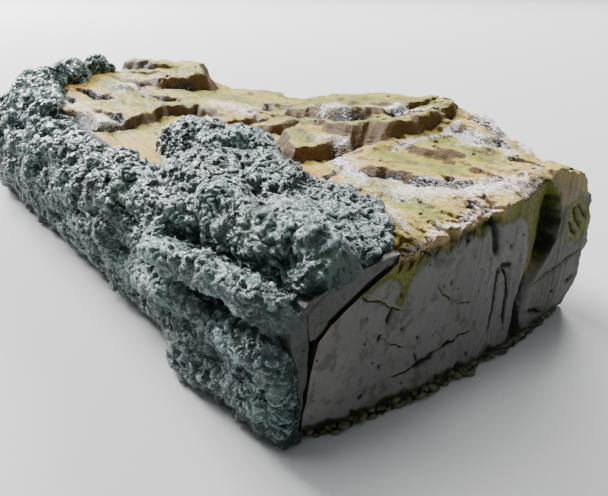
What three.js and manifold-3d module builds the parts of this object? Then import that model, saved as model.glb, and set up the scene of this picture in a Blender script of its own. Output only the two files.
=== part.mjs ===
// A mossy log: a short split log, sawn square at its near end (+X), lying on its flat underside.
// Five pieces lie in layers: the wood, two layers of bark on its front side (-Y), a thin bark rim
// under everything, and a moss mat over the front side, the far end and a hump on the top.
// Units are millimetres, +Z is up, and the origin is at the middle of the footprint.
import * as THREE from 'three';
import { mergeVertices } from 'three/addons/utils/BufferGeometryUtils.js';
import Module from 'manifold-3d';

// Driving dimensions of the whole log.
const LENGTH = 316;
const WIDTH = 144;
const HALF_LENGTH = LENGTH / 2;
const HALF_WIDTH = WIDTH / 2;

// Places along the length.
const SAWN_X = 151;
const SAWN_BULGE = 1.5;
const WOOD_FAR_X = -147;
const BARK_FAR_X = -132;
const FAR_ROUNDING = 40;
const FAR_TUCK = 26;

// Heights and gaps between layers.
const BASE_HEIGHT = 4;
const JOINT_GAP = 0.3;
const SEAM_GAP = 0.8;
const SEAT_MARGIN = 0.6;
const BARK_OVERLAP = 4;
const WELD = 0.001;
const INNER_BARK_FOOT = 33;
const MOSS_FOOT = 1;
const MOSS_THICKNESS = 3;
const RISER_STEEPNESS = 1.6;

// Grid cells of the layers along, across and up.
const WOOD_CELLS = [40, 20, 6];
const BARK_CELLS = [24, 1, 5];
const MOSS_CELLS = [36, 14, 6];

// The bevelled front corner of the sawn end fades into the plain side between these two places.
const BEVEL_START_X = 50;
const BEVEL_FULL_X = 115;

// The back of the log turns from its plain to its rounder shape between these two places.
const BACK_START_X = 88;
const BACK_FULL_X = 130;

// The front side draws in by this much over the last stretch before the sawn end.
const CORNER_START_X = 134;
const CORNER_TUCK = 5;

// Sideways reach of each layer against height: [height, y], first on the plain side, then at the
// sawn end, where the front top corner is bevelled.
const WOOD_FRONT = {
  cornerTuck: 0,
  plain: [[0, -60], [12, -61], [25, -59.5], [35, -56.5], [42, -53], [46, -50], [52, -44], [70, -30]],
  sawn: [[0, -60], [12, -61], [25, -59], [33, -57], [37, -53], [42, -44], [49, -29], [70, 0]],
};
const INNER_FRONT = {
  cornerTuck: 0,
  plain: [[0, -63.5], [12, -64.5], [25, -63], [35, -60], [42, -56.5], [46, -53.5], [52, -48], [70, -34]],
  sawn: [[0, -61], [33, -59.5], [41, -60], [44, -55.5], [48, -49.5], [52, -44], [70, -20]],
};
const OUTER_FRONT = {
  cornerTuck: 1,
  plain: [[0, -65], [12, -67.5], [25, -66.5], [35, -63.5], [42, -60], [46, -57], [52, -52], [70, -38]],
  sawn: [[0, -63], [8, -65], [25, -65.5], [31, -68], [38, -68], [44, -63], [50, -55], [54, -49], [70, -28]],
};
const MOSS_FRONT = {
  cornerTuck: CORNER_TUCK,
  plain: [[0, -65], [10, -68], [20, -69.5], [28, -69], [36, -67], [42, -64], [48, -59], [54, -52], [70, -38]],
  sawn: [[0, -66], [10, -70.5], [22, -HALF_WIDTH], [38, -71], [45, -66], [50, -60], [55, -53], [70, -34]],
};
const BACK = {
  plain: [[0, 65], [8, 68], [20, 70.5], [30, HALF_WIDTH], [42, 70.5], [52, 66], [62, 60], [70, 54], [80, 40]],
  sawn: [[0, 64], [5, 64], [19, 67], [27, 68.5], [39, 67], [48, 60], [55, 53], [62, 42], [70, 30]],
};

// Terraces of the weathered top: a plan outline, the height at a corner of it, and the rise per
// millimetre towards +X and +Y. The highest terrace over a point gives the surface there.
const TERRACES = [
  { // low bay in the middle of the log
    outline: [[-165, -90], [175, -90], [175, 90], [-165, 90]],
    from: [0, -30], height: 45.5, riseX: 0, riseY: 0.01,
  },
  { // plateau behind the sawn end
    outline: [[84, -90], [175, -90], [175, 90], [84, 90], [80, 36], [84, 0]],
    from: [100, -10], height: 50, riseX: 0, riseY: 0.05,
  },
  { // shoulder along the back of that plateau
    outline: [[84, 36], [120, 32], [175, 24], [175, 90], [84, 90]],
    from: [120, 32], height: 53.5, riseX: -0.02, riseY: 0.36,
  },
  { // raised block behind the long ledge
    outline: [[-38, 20], [-2, 14], [20, 31], [48, 31], [62, 32], [68, 38], [83, 37], [91, 33],
      [92, 50], [95, 66], [90, 90], [-30, 90]],
    from: [-2, 14], height: 52, riseX: 0.1, riseY: 0.15,
  },
  { // second step on the block
    outline: [[30, 40], [45, 42], [71, 45], [86, 51], [91, 62], [88, 90], [30, 90]],
    from: [45, 42], height: 60, riseX: 0.16, riseY: 0.3,
  },
  { // tongue below the long ledge
    outline: [[28, 22], [44, 12], [57, 5], [60, 16], [66, 24], [64, 34], [30, 32]],
    from: [57, 5], height: 52.5, riseX: 0, riseY: 0.02,
  },
  { // plateau of the far half
    outline: [[-165, -90], [-70, -90], [-69, -40], [-40, -39], [-37, -19], [-51, 3], [-42, 17], [-7, 13],
      [0, 24], [0, 90], [-165, 90]],
    from: [-50, 0], height: 51, riseX: -0.04, riseY: 0.03,
  },
  { // high stub at the far back corner
    outline: [[-165, 8], [-120, 12], [-98, 15], [-86, 22], [-81, 36], [-83, 90], [-165, 90]],
    from: [-86, 22], height: 62, riseX: 0, riseY: 0.05,
  },
];

// Outline of the bare wood seen from above: everything outside it is under moss.
const BARE_WOOD = [
  [165, -24], [138, -16], [130, -8], [118, -5], [112, -11], [104, -17], [88, -18], [74, -13], [60, -2],
  [44, 6], [24, 2], [4, -6], [-20, 3], [0, -20], [40, -42], [32, -46], [-18, -49], [-66, -45],
  [-92, -33], [-108, -30], [-122, -14], [-134, 2], [-141, 20], [-142, 48], [-140, 95], [165, 95],
];

// The moss hump that climbs onto the top.
const HUMP = { centre: [42, -16], length: 62, width: 22, height: 9, turn: -0.12 };

// Plan outline of the rim under the log.
const BASE_OUTLINE = [
  [-118, -61], [-60, -62], [20, -62], [110, -62], [141, -62], [150, -57], [156, -45], [157, -20],
  [HALF_LENGTH, 2], [157, 30], [154, 54], [148, 66], [100, 66], [10, 65], [-110, 64],
  [-136, 54], [-148, 34], [-150, 0], [-146, -32], [-136, -52],
];

const COLOURS = {
  wood: 0xc4b078, inner_bark: 0x4c4c46, outer_bark: 0x39453a, base_bark: 0x1e2a22, moss_mat: 0x3c6456,
};

const wasm = await Module();
wasm.setup();

const clamp01 = (value) => Math.min(1, Math.max(0, value));
const lerp = THREE.MathUtils.lerp;

/** Reads a list of [key, value] pairs as a broken line. */
function readLine(points, key) {
  for (let i = 1; i < points.length; i += 1) {
    const [k0, v0] = points[i - 1];
    const [k1, v1] = points[i];
    if (key <= k1) return lerp(v0, v1, clamp01((key - k0) / (k1 - k0)));
  }
  return points[points.length - 1][1];
}

/** How far the far end has tucked in, from 0 on the straight part to 1 at the tip. */
function farTuck(x) {
  const along = clamp01((-HALF_LENGTH + FAR_ROUNDING - x) / FAR_ROUNDING);
  return 1 - Math.sqrt(1 - along * along);
}

/** Front side of a layer at a place along the log and a height. */
function frontSide(layer, x, z) {
  const bevel = THREE.MathUtils.smoothstep(x, BEVEL_START_X, BEVEL_FULL_X);
  const side = lerp(readLine(layer.plain, z), readLine(layer.sawn, z), bevel);
  const corner = layer.cornerTuck * clamp01((x - CORNER_START_X) / (SAWN_X - CORNER_START_X)) ** 2;
  return side + FAR_TUCK * farTuck(x) + corner;
}

/** Back side of the log at a place along it and a height. */
function backSide(x, z) {
  const rounding = THREE.MathUtils.smoothstep(x, BACK_START_X, BACK_FULL_X);
  return lerp(readLine(BACK.plain, z), readLine(BACK.sawn, z), rounding) - FAR_TUCK * farTuck(x);
}

/** Distance from a point to an outline, negative inside it. */
function outlineDistance(outline, x, y) {
  let nearest = Infinity;
  let inside = false;
  outline.forEach(([x0, y0], i) => {
    const [x1, y1] = outline[(i + 1) % outline.length];
    const dx = x1 - x0;
    const dy = y1 - y0;
    const t = clamp01(((x - x0) * dx + (y - y0) * dy) / (dx * dx + dy * dy));
    nearest = Math.min(nearest, Math.hypot(x - x0 - t * dx, y - y0 - t * dy));
    if ((y0 > y) !== (y1 > y) && x < x0 + (dx * (y - y0)) / dy) inside = !inside;
  });
  return inside ? -nearest : nearest;
}

/** Top of the wood, from its terraces. */
function woodTop(x, y) {
  const heights = TERRACES.map(({ outline, from, height, riseX, riseY }) => {
    const drop = RISER_STEEPNESS * Math.max(0, outlineDistance(outline, x, y));
    return height + riseX * (x - from[0]) + riseY * (y - from[1]) - drop;
  });
  return Math.max(...heights);
}

/** Top of the bark layers: the wood's top, lifted where the bark lips over the sawn end's bevel. */
function barkTop(x, y) {
  const bevel = THREE.MathUtils.smoothstep(x, BEVEL_START_X, BEVEL_FULL_X);
  const lip = 1 - THREE.MathUtils.smoothstep(y, -42, -30);
  return Math.min(woodTop(x, y), 52) + 3 * bevel * lip;
}

/** Top of the moss: a blanket over the layers below, with a hump and a high rim at the far end. */
function mossTop(x, y) {
  const cos = Math.cos(HUMP.turn);
  const sin = Math.sin(HUMP.turn);
  const dx = x - HUMP.centre[0];
  const dy = y - HUMP.centre[1];
  const along = (dx * cos + dy * sin) / HUMP.length;
  const across = (dy * cos - dx * sin) / HUMP.width;
  const hump = HUMP.height * Math.max(0, 1 - along * along - across * across);
  const rim = 5 * (1 - THREE.MathUtils.smoothstep(x, -140, -112)) * (1 - THREE.MathUtils.smoothstep(y, 8, 26));
  const shoulder = 16 * (1 - THREE.MathUtils.smoothstep(y, -56, -20)) * farTuck(x + 20);
  return Math.max(woodTop(x, y), barkTop(x, y)) + MOSS_THICKNESS + hump + rim - shoulder;
}

/** Bends a grid box into a layer between a front and a back side and two heights. */
function layerBox({ from, to, cells, front, back, bottom, top, bulge = 0 }) {
  const box = new THREE.BoxGeometry(1, 1, 1, ...cells);
  const spots = box.attributes.position;
  for (let i = 0; i < spots.count; i += 1) {
    const along = spots.getX(i) + 0.5;
    const across = spots.getY(i) + 0.5;
    const up = spots.getZ(i) + 0.5;
    const x = lerp(from, to, along);
    const ceiling = (height) => top(x, lerp(front(x, height), back(x, height), across));
    const highest = ceiling(ceiling(ceiling(50)));
    const z = lerp(bottom, highest, up);
    const y = lerp(front(x, z), back(x, z), across);
    const crown = along > 0.999 ? bulge * (1 - (y / HALF_WIDTH) ** 2) : 0;
    spots.setXYZ(i, x + crown, y, z);
  }
  return box;
}

/** Turns a geometry into a solid. */
function solid(geometry) {
  const bare = geometry.clone();
  bare.deleteAttribute('normal');
  bare.deleteAttribute('uv');
  const welded = mergeVertices(bare, WELD);
  const vertProperties = new Float32Array(welded.attributes.position.array);
  const triVerts = new Uint32Array(welded.index.array);
  return new wasm.Manifold(new wasm.Mesh({ numProp: 3, vertProperties, triVerts }));
}

/** Geometry of the largest body of a solid, without the crumbs that a cut leaves. */
function largestBody(body) {
  const pieces = body.decompose().sort((a, b) => b.volume() - a.volume());
  const { vertProperties, triVerts } = pieces[0].getMesh();
  const geometry = new THREE.BufferGeometry();
  geometry.setAttribute('position', new THREE.BufferAttribute(new Float32Array(vertProperties), 3));
  geometry.setIndex(new THREE.BufferAttribute(new Uint32Array(triVerts), 1));
  return geometry;
}

/** Makes a named mesh of a solid, welded once more so that no pinched corner is left. */
function namedMesh(name, body, roughness) {
  const geometry = largestBody(solid(largestBody(body)));
  geometry.computeVertexNormals();
  const material = new THREE.MeshStandardMaterial({ color: COLOURS[name], roughness, metalness: 0 });
  const mesh = new THREE.Mesh(geometry, material);
  mesh.name = name;
  return mesh;
}

/** Upright prism over a plan outline. */
function prism(outline, bottom, height) {
  const shape = new THREE.Shape(outline.map(([x, y]) => new THREE.Vector2(x, y)));
  const geometry = new THREE.ExtrudeGeometry(shape, { depth: height, bevelEnabled: false });
  return geometry.translate(0, 0, bottom);
}

/** Body of a layer from its front side back to a given depth, grown all round by a margin. */
function layerBody({ layer, from, cells, back, bottom, top, margin }) {
  return solid(layerBox({
    from: from - margin / 2, to: SAWN_X + margin / 2, cells, bulge: SAWN_BULGE,
    front: (x, z) => frontSide(layer, x, z) - margin, back: (x, z) => back(x, z) + margin,
    bottom: bottom - margin, top: (x, y) => top(x, y) + 2 * margin,
  }));
}

/** Plain body of the log before its crack is cut. */
function woodBody(margin) {
  return layerBody({
    layer: WOOD_FRONT, from: WOOD_FAR_X, cells: WOOD_CELLS, back: backSide,
    bottom: BASE_HEIGHT + JOINT_GAP, top: woodTop, margin,
  });
}

/** Plain body of a bark layer, reaching a little way into the wood that is cut from it. */
function barkBody(layer, bottom, margin) {
  const back = (x, z) => frontSide(WOOD_FRONT, x, z) + BARK_OVERLAP;
  return layerBody({ layer, from: BARK_FAR_X, cells: BARK_CELLS, back, bottom, top: barkTop, margin });
}

/** The split log itself, with its terraced top and the deep crack that parts its back slab. */
function makeWood() {
  return woodBody(0).subtract(solid(makeCrack()));
}

/** Wedge that cuts the deep crack: wide at the top of the sawn end, closing downwards and inwards. */
function makeCrack() {
  const section = new THREE.Shape();
  section.moveTo(31, 80);
  section.lineTo(43, 80);
  section.lineTo(43, 60);
  section.quadraticCurveTo(50, 46, 46, 34);
  section.quadraticCurveTo(38, 20, 26.5, 7);
  section.lineTo(26, 7);
  section.quadraticCurveTo(33, 20, 40, 38);
  section.quadraticCurveTo(42, 50, 31, 60);
  const depth = 26;
  const wedge = new THREE.ExtrudeGeometry(section, { depth, bevelEnabled: false, curveSegments: 4, steps: 1 });
  const spots = wedge.attributes.position;
  for (let i = 0; i < spots.count; i += 1) {
    const inward = 1 - spots.getZ(i) / depth;
    const middle = 37;
    const closing = 1 - 0.8 * inward;
    spots.setXYZ(
      i,
      SAWN_X - depth + 4 + spots.getZ(i),
      lerp(spots.getX(i), middle, 1 - closing),
      spots.getY(i) + 22 * inward,
    );
  }
  return wedge;
}

/** Inner bark: the strip on the bevelled corner, parted from the wood by an open seam. */
function makeInnerBark() {
  return barkBody(INNER_FRONT, INNER_BARK_FOOT, 0).subtract(woodBody(SEAM_GAP));
}

/** Outer bark: the layer that carries the moss, from the rim to the top. */
function makeOuterBark() {
  const plain = barkBody(OUTER_FRONT, BASE_HEIGHT + JOINT_GAP, 0);
  return plain.subtract(woodBody(SEAM_GAP)).subtract(barkBody(INNER_FRONT, INNER_BARK_FOOT, SEAT_MARGIN));
}

/** What the moss lies on, grown all round so that the mat keeps clear of it. */
function mossSeat() {
  const inner = barkBody(INNER_FRONT, INNER_BARK_FOOT, SEAT_MARGIN);
  const outer = barkBody(OUTER_FRONT, BASE_HEIGHT + JOINT_GAP, SEAT_MARGIN);
  return woodBody(SEAT_MARGIN).add(inner).add(outer);
}

/** Moss mat over the front side, the far end and the hump. */
function makeMoss() {
  const blanket = solid(layerBox({
    from: -HALF_LENGTH, to: SAWN_X - JOINT_GAP, cells: MOSS_CELLS, bulge: SAWN_BULGE,
    front: (x, z) => frontSide(MOSS_FRONT, x, z),
    back: (x, z) => backSide(x, z) + 1,
    bottom: MOSS_FOOT, top: mossTop,
  }));
  const opening = solid(prism(BARE_WOOD, MOSS_FOOT - 1, 120));
  const rim = solid(prism(BASE_OUTLINE, -1, BASE_HEIGHT + 1 + JOINT_GAP));
  return blanket.subtract(mossSeat()).subtract(opening).subtract(rim);
}

/** Crumbly bark rim under the log, flat where it rests. */
function makeBaseBark() {
  return solid(prism(BASE_OUTLINE, 0, BASE_HEIGHT));
}

const log = new THREE.Group();
log.add(
  namedMesh('wood', makeWood(), 0.35),
  namedMesh('inner_bark', makeInnerBark(), 0.5),
  namedMesh('outer_bark', makeOuterBark(), 0.5),
  namedMesh('base_bark', makeBaseBark(), 0.6),
  namedMesh('moss_mat', makeMoss(), 0.4),
);

export default log;
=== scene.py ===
"""Looks of a mossy log: weathered wood, cut bark, a crumbly rim and a thick mat of moss under a wet gloss."""
import logging
import math
from collections.abc import Callable
from dataclasses import dataclass
from enum import Enum

import bmesh
import bpy
import numpy as np
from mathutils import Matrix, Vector


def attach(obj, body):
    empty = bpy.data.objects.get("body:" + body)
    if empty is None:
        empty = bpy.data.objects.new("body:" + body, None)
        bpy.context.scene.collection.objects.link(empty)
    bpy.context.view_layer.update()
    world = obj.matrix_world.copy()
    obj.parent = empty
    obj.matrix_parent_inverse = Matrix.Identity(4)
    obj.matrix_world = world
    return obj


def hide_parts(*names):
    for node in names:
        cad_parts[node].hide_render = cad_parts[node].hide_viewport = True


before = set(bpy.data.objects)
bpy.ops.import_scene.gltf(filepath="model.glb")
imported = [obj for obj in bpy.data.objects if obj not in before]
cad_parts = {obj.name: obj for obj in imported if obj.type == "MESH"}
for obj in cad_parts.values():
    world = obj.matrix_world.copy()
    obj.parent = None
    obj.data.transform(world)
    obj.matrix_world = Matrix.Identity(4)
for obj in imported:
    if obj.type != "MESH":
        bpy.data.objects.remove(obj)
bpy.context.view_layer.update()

MM = 0.001
FAR = 1e9
LOG = logging.getLogger("mossy_log")

Array = np.ndarray
Line = list[tuple[float, ...]]


# ------------------------------------------------------------
# Small tools: numbers, noise and meshes. Shapes are worked out in millimetres.
# ------------------------------------------------------------


def ramp(values: Array, low: float, high: float) -> Array:
    """Smooth step from 0 at low to 1 at high."""
    t = np.clip((values - low) / (high - low), 0.0, 1.0)
    return t * t * (3.0 - 2.0 * t)


def mix(a: Array | float, b: Array | float, share: Array | float) -> Array:
    """Blend of a and b by a share from 0 to 1."""
    return a + (b - a) * share


def bell(gap: Array, width: float) -> Array:
    """1 on a line or a spot, and next to 0 from two widths away."""
    return np.exp(-((gap / width) ** 2))


def end_fade(share: Array, steepness: float, start: float = 0.0) -> Array:
    """Fade of a mark towards both ends of its line.

    Args:
        share: share of the line's length, from 0 to 1.
        steepness: 1 over the share that a fade takes up.
        start: share that a fade has already come at the line's very ends.

    Returns:
        1 along the line and less near its ends.
    """
    return np.clip(steepness * np.minimum(share + start, 1.0 + start - share), 0.0, 1.0)


def rows(x: Array, y: Array | float, z: Array | float = 0.0) -> Array:
    """Rows of x, y, z from a column or a single value of each."""
    return np.stack(np.broadcast_arrays(x, y, z), axis=1)


def read_line(line: Line, keys: Array) -> Array:
    """Read a list of (key, value) pairs as a broken line."""
    table = np.asarray(line, dtype=float)
    return np.interp(keys, table[:, 0], table[:, 1])


class Noise:
    """Seeded gradient noise and cell noise for arrays of points."""

    lattice: int = 256
    gain: float = 1.6
    octave_shift: float = 17.3
    axis_shifts: tuple[float, float, float] = (0.0, 41.7, 83.1)

    def __init__(self, seed: int) -> None:
        """Set up the lattice.

        Args:
            seed: number that fixes the pattern.
        """
        rng = np.random.default_rng(seed)
        self.order = rng.permutation(self.lattice)
        slopes = rng.normal(size=(self.lattice, 3))
        self.slopes = slopes / np.linalg.norm(slopes, axis=1)[:, None]
        self.spots = rng.random((self.lattice, 3))

    def _hash(self, cell: Array) -> Array:
        """Lattice entry of each cell.

        Args:
            cell: rows of whole numbers.

        Returns:
            The number of the entry, one a cell.
        """
        last = self.lattice - 1
        first = self.order[cell[:, 0] & last]
        second = self.order[(first + cell[:, 1]) & last]
        return self.order[(second + cell[:, 2]) & last]

    def smooth(self, points: Array, size: float | tuple[float, float, float]) -> Array:
        """Gradient noise, about -1 to 1.

        Args:
            points: rows of x, y, z.
            size: width of one wave, alike or per axis.

        Returns:
            One value a point.
        """
        spots = points / np.asarray(size, dtype=float)
        cell = np.floor(spots).astype(np.int64)
        inside = spots - cell
        fade = inside * inside * inside * (inside * (inside * 6.0 - 15.0) + 10.0)
        total = np.zeros(len(points))
        for corner in np.ndindex(2, 2, 2):
            step = np.asarray(corner)
            slope = self.slopes[self._hash(cell + step)]
            weight = np.prod(np.where(step == 1, fade, 1.0 - fade), axis=1)
            total += weight * np.einsum("ij,ij->i", slope, inside - step)
        return total * self.gain

    def layered(self, points: Array, size: float | tuple[float, float, float], octaves: int = 3) -> Array:
        """Sum of octaves of gradient noise, each half as wide and half as strong as the last.

        Args:
            points: rows of x, y, z.
            size: width of the widest wave, alike or per axis.
            octaves: how many are added up.

        Returns:
            One value a point.
        """
        widths = np.asarray(size, dtype=float)
        total = np.zeros(len(points))
        for octave in range(octaves):
            shrink = 0.5**octave
            shifted = points + self.octave_shift * octave
            total += shrink * self.smooth(shifted, tuple(np.broadcast_to(widths * shrink, 3)))
        return total

    def ridged(self, points: Array, size: float | tuple[float, float, float]) -> Array:
        """Noise with sharp crests, from about -1 between them to 1 on them."""
        return 1.0 - 2.6 * np.abs(self.smooth(points, size))

    def bend(self, points: Array, size: float, reach: float) -> Array:
        """Points pushed about by smooth noise, each axis on its own."""
        push = [self.smooth(points + shift, size) for shift in self.axis_shifts]
        return points + reach * np.stack(push, axis=1)

    def cells(self, points: Array, size: float | tuple[float, float, float]) -> tuple[Array, Array, Array]:
        """Cell noise.

        Args:
            points: rows of x, y, z.
            size: width of a cell, alike or per axis.

        Returns:
            Distances to the nearest and the second nearest spot in cell widths, and a number from
            0 to 1 that is the same all over a cell.
        """
        spots = points / np.asarray(size, dtype=float)
        base = np.floor(spots).astype(np.int64)
        near = np.full(len(points), FAR)
        second = np.full(len(points), FAR)
        owner = np.zeros(len(points))
        for offset in np.ndindex(3, 3, 3):
            cell = base + (np.asarray(offset) - 1)
            key = self._hash(cell)
            gap = np.linalg.norm(cell + self.spots[key] - spots, axis=1)
            closer = gap < near
            second = np.where(closer, near, np.minimum(second, gap))
            owner = np.where(closer, key / (self.lattice - 1.0), owner)
            near = np.where(closer, gap, near)
        return near, second, owner


def outline_distance(outline: Line, x: Array, y: Array) -> Array:
    """Distance from points to a closed outline.

    Args:
        outline: corners of the outline.
        x: first coordinate of each point.
        y: second coordinate of each point.

    Returns:
        The distance, negative inside the outline.
    """
    nearest = np.full(x.shape, FAR)
    inside = np.zeros(x.shape, dtype=bool)
    for (x0, y0), (x1, y1) in zip(outline, outline[1:] + outline[:1]):
        dx, dy = x1 - x0, y1 - y0
        t = np.clip(((x - x0) * dx + (y - y0) * dy) / (dx * dx + dy * dy), 0.0, 1.0)
        nearest = np.minimum(nearest, np.hypot(x - x0 - t * dx, y - y0 - t * dy))
        if dy:
            crosses = ((y0 > y) != (y1 > y)) & (x < x0 + dx * (y - y0) / dy)
            inside ^= crosses
    return np.where(inside, -nearest, nearest)


def inside(outline: Line, points: Array, low: float, high: float) -> Array:
    """Share by which points lie inside an outline, from 0 at low to 1 at high millimetres inside it."""
    return ramp(-outline_distance(outline, points[:, 0], points[:, 1]), low, high)


def spot_distance(spot: tuple[float, float], points: Array) -> Array:
    """Distance from the first two coordinates of points to a spot."""
    return np.hypot(*(points[:, :2] - np.asarray(spot)).T)


def line_distance(line: Line, points: Array) -> tuple[Array, Array]:
    """Distance from points to an open line of two or three coordinates.

    Args:
        line: corners of the line.
        points: rows with as many coordinates as the corners.

    Returns:
        The distance, and the share of the line's length at the nearest place.
    """
    corners = np.asarray(line, dtype=float)
    nearest = np.full(len(points), FAR)
    share = np.zeros(len(points))
    lengths = np.linalg.norm(np.diff(corners, axis=0), axis=1)
    travelled = 0.0
    for start, end, length in zip(corners[:-1], corners[1:], lengths):
        way = end - start
        t = np.clip((points - start) @ way / (way @ way), 0.0, 1.0)
        gap = np.linalg.norm(points - start - t[:, None] * way, axis=1)
        closer = gap < nearest
        nearest = np.where(closer, gap, nearest)
        share = np.where(closer, (travelled + t * length) / lengths.sum(), share)
        travelled += length
    return nearest, share


def side_distance(line: Line, points: Array) -> Array:
    """Distance to an open line in a plane.

    Args:
        line: corners of the line.
        points: rows of two coordinates.

    Returns:
        The distance, positive on the line's left and negative on its right.
    """
    corners = np.asarray(line, dtype=float)
    best = np.full(len(points), FAR)
    signed = np.full(len(points), FAR)
    for start, end in zip(corners[:-1], corners[1:]):
        way = end - start
        t = np.clip((points - start) @ way / (way @ way), 0.0, 1.0)
        apart = points - start - t[:, None] * way
        gap = np.linalg.norm(apart, axis=1)
        side = np.sign(way[0] * apart[:, 1] - way[1] * apart[:, 0])
        closer = gap < best
        best = np.where(closer, gap, best)
        signed = np.where(closer, gap * np.where(side == 0, 1.0, side), signed)
    return signed


def new_piece(name: str, work: bmesh.types.BMesh) -> bpy.types.Object:
    """Turn a bmesh into a linked object at the origin.

    Args:
        name: name of the piece.
        work: its bmesh, freed here.

    Returns:
        The object.
    """
    mesh = bpy.data.meshes.new(name)
    work.to_mesh(mesh)
    work.free()
    piece = bpy.data.objects.new(name, mesh)
    bpy.context.scene.collection.objects.link(piece)
    return piece


def get_places(piece: bpy.types.Object) -> Array:
    """Vertex places of a piece."""
    flat = np.empty(len(piece.data.vertices) * 3, dtype=np.float64)
    piece.data.vertices.foreach_get("co", flat)
    return flat.reshape(-1, 3)


def set_places(piece: bpy.types.Object, places: Array) -> None:
    """Write the vertex places of a piece."""
    piece.data.vertices.foreach_set("co", np.ascontiguousarray(places, dtype=np.float32).ravel())
    piece.data.update()


def get_normals(piece: bpy.types.Object) -> Array:
    """Vertex normals of a piece."""
    flat = np.empty(len(piece.data.vertices) * 3, dtype=np.float32)
    piece.data.vertex_normals.foreach_get("vector", flat)
    return flat.reshape(-1, 3).astype(np.float64)


def set_values(piece: bpy.types.Object, name: str, values: Array) -> None:
    """Store one number a vertex, which the piece's finish reads by name."""
    layer = piece.data.attributes.new(name, "FLOAT", "POINT")
    layer.data.foreach_set("value", values.astype(np.float32))


def smooth_faces(piece: bpy.types.Object, sharp_degrees: float | None = None) -> None:
    """Shade a piece smooth.

    Args:
        piece: the piece.
        sharp_degrees: angle past which an edge stays sharp, or None for no sharp edges.
    """
    piece.data.polygons.foreach_set("use_smooth", np.ones(len(piece.data.polygons), dtype=bool))
    if sharp_degrees is not None:
        piece.data.set_sharp_from_angle(angle=math.radians(sharp_degrees))
    piece.data.update()


def even_out(piece: bpy.types.Object, values: Array, rounds: int) -> Array:
    """Average values with their neighbours along the edges.

    Args:
        piece: the piece.
        values: one number or one row a vertex.
        rounds: how many times they are averaged.

    Returns:
        The averaged values.
    """
    if values.ndim == 2:
        return np.stack([even_out(piece, column, rounds) for column in values.T], axis=1)
    edges = np.empty(len(piece.data.edges) * 2, dtype=np.int64)
    piece.data.edges.foreach_get("vertices", edges)
    a, b = edges[0::2], edges[1::2]
    count = len(values)
    links = np.bincount(a, minlength=count) + np.bincount(b, minlength=count)
    result = values.astype(float)
    for _ in range(rounds):
        total = np.bincount(a, result[b], count) + np.bincount(b, result[a], count)
        result = 0.5 * result + 0.5 * total / np.maximum(links, 1)
    return result


def relief_of(piece: bpy.types.Object, rounds: int) -> Array:
    """How far each vertex stands out of its evened-out surroundings, in the piece's own units."""
    places = get_places(piece)
    return np.einsum("ij,ij->i", places - even_out(piece, places, rounds), get_normals(piece))


def face_values(piece: bpy.types.Object, name: str, width: int) -> Array:
    """One row of numbers a face, such as its center."""
    flat = np.empty(len(piece.data.polygons) * width)
    piece.data.polygons.foreach_get(name, flat)
    return flat.reshape(-1, width)


def face_limits(piece: bpy.types.Object, values: Array) -> tuple[Array, Array]:
    """Lowest and highest value among the vertices of each face.

    Args:
        piece: the piece.
        values: one number a vertex.

    Returns:
        The lowest and the highest, one of each a face.
    """
    corner = np.empty(len(piece.data.loops), dtype=np.int64)
    piece.data.loops.foreach_get("vertex_index", corner)
    starts = np.empty(len(piece.data.polygons), dtype=np.int64)
    piece.data.polygons.foreach_get("loop_start", starts)
    return np.minimum.reduceat(values[corner], starts), np.maximum.reduceat(values[corner], starts)


def cut_lengths(piece: bpy.types.Object, names: list[str], marks: list[float]) -> list[bpy.types.Object]:
    """Cut a long mesh into lengths along X, each closed at its cuts, so that none is too heavy.

    Args:
        piece: the whole mesh, which is removed.
        names: names of the lengths, from the lowest X up.
        marks: places of the cuts in millimetres, one fewer than the names.

    Returns:
        The lengths.
    """
    nearest, farthest = face_limits(piece, get_places(piece)[:, 0] / MM)
    limits = [-math.inf, *marks, math.inf]
    lengths = []
    for name, low, high in zip(names, limits[:-1], limits[1:]):
        work = bmesh.new()
        work.from_mesh(piece.data)
        outside = [face for face, drop in zip(work.faces, (farthest < low) | (nearest > high)) if drop]
        bmesh.ops.delete(work, geom=outside, context="FACES")
        for place, keeps_above in ((low, True), (high, False)):
            if math.isfinite(place):
                bmesh.ops.bisect_plane(
                    work, geom=[*work.verts, *work.edges, *work.faces], plane_co=(place * MM, 0.0, 0.0),
                    plane_no=(1.0, 0.0, 0.0), clear_inner=keeps_above, clear_outer=not keeps_above,
                )
        cuts = [edge for edge in work.edges if edge.is_boundary]
        for edge in cuts:
            edge.smooth = False
        bmesh.ops.holes_fill(work, edges=cuts, sides=0)
        length = new_piece(name, work)
        for material in piece.data.materials:
            length.data.materials.append(material)
        lengths.append(length)
    mesh = piece.data
    bpy.data.objects.remove(piece)
    bpy.data.meshes.remove(mesh)
    return lengths


def unit_block(cells: tuple[int, int, int], open_base: bool = False) -> bmesh.types.BMesh:
    """A cube from 0 to 1 each way, divided into a grid of cells.

    Args:
        cells: cells along, across and up.
        open_base: True to close the underside with one face in place of a grid.

    Returns:
        The bmesh.
    """
    work = bmesh.new()
    bmesh.ops.create_cube(work, size=1.0)
    bmesh.ops.translate(work, verts=work.verts, vec=(0.5, 0.5, 0.5))
    if open_base:
        base = [face for face in work.faces if face.calc_center_median().z < 0.01]
        bmesh.ops.delete(work, geom=base, context="FACES_ONLY")
    for axis, count in enumerate(cells):
        edges = [e for e in work.edges if abs(e.verts[0].co[axis] - e.verts[1].co[axis]) > 0.5]
        if count > 1:
            bmesh.ops.subdivide_edges(work, edges=edges, cuts=count - 1, use_grid_fill=True)
    if open_base:
        rim = [edge for edge in work.edges if edge.is_boundary]
        bmesh.ops.contextual_create(work, geom=rim)
        bmesh.ops.recalc_face_normals(work, faces=work.faces)
    return work


# ------------------------------------------------------------
# The form of the log
# ------------------------------------------------------------


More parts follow.
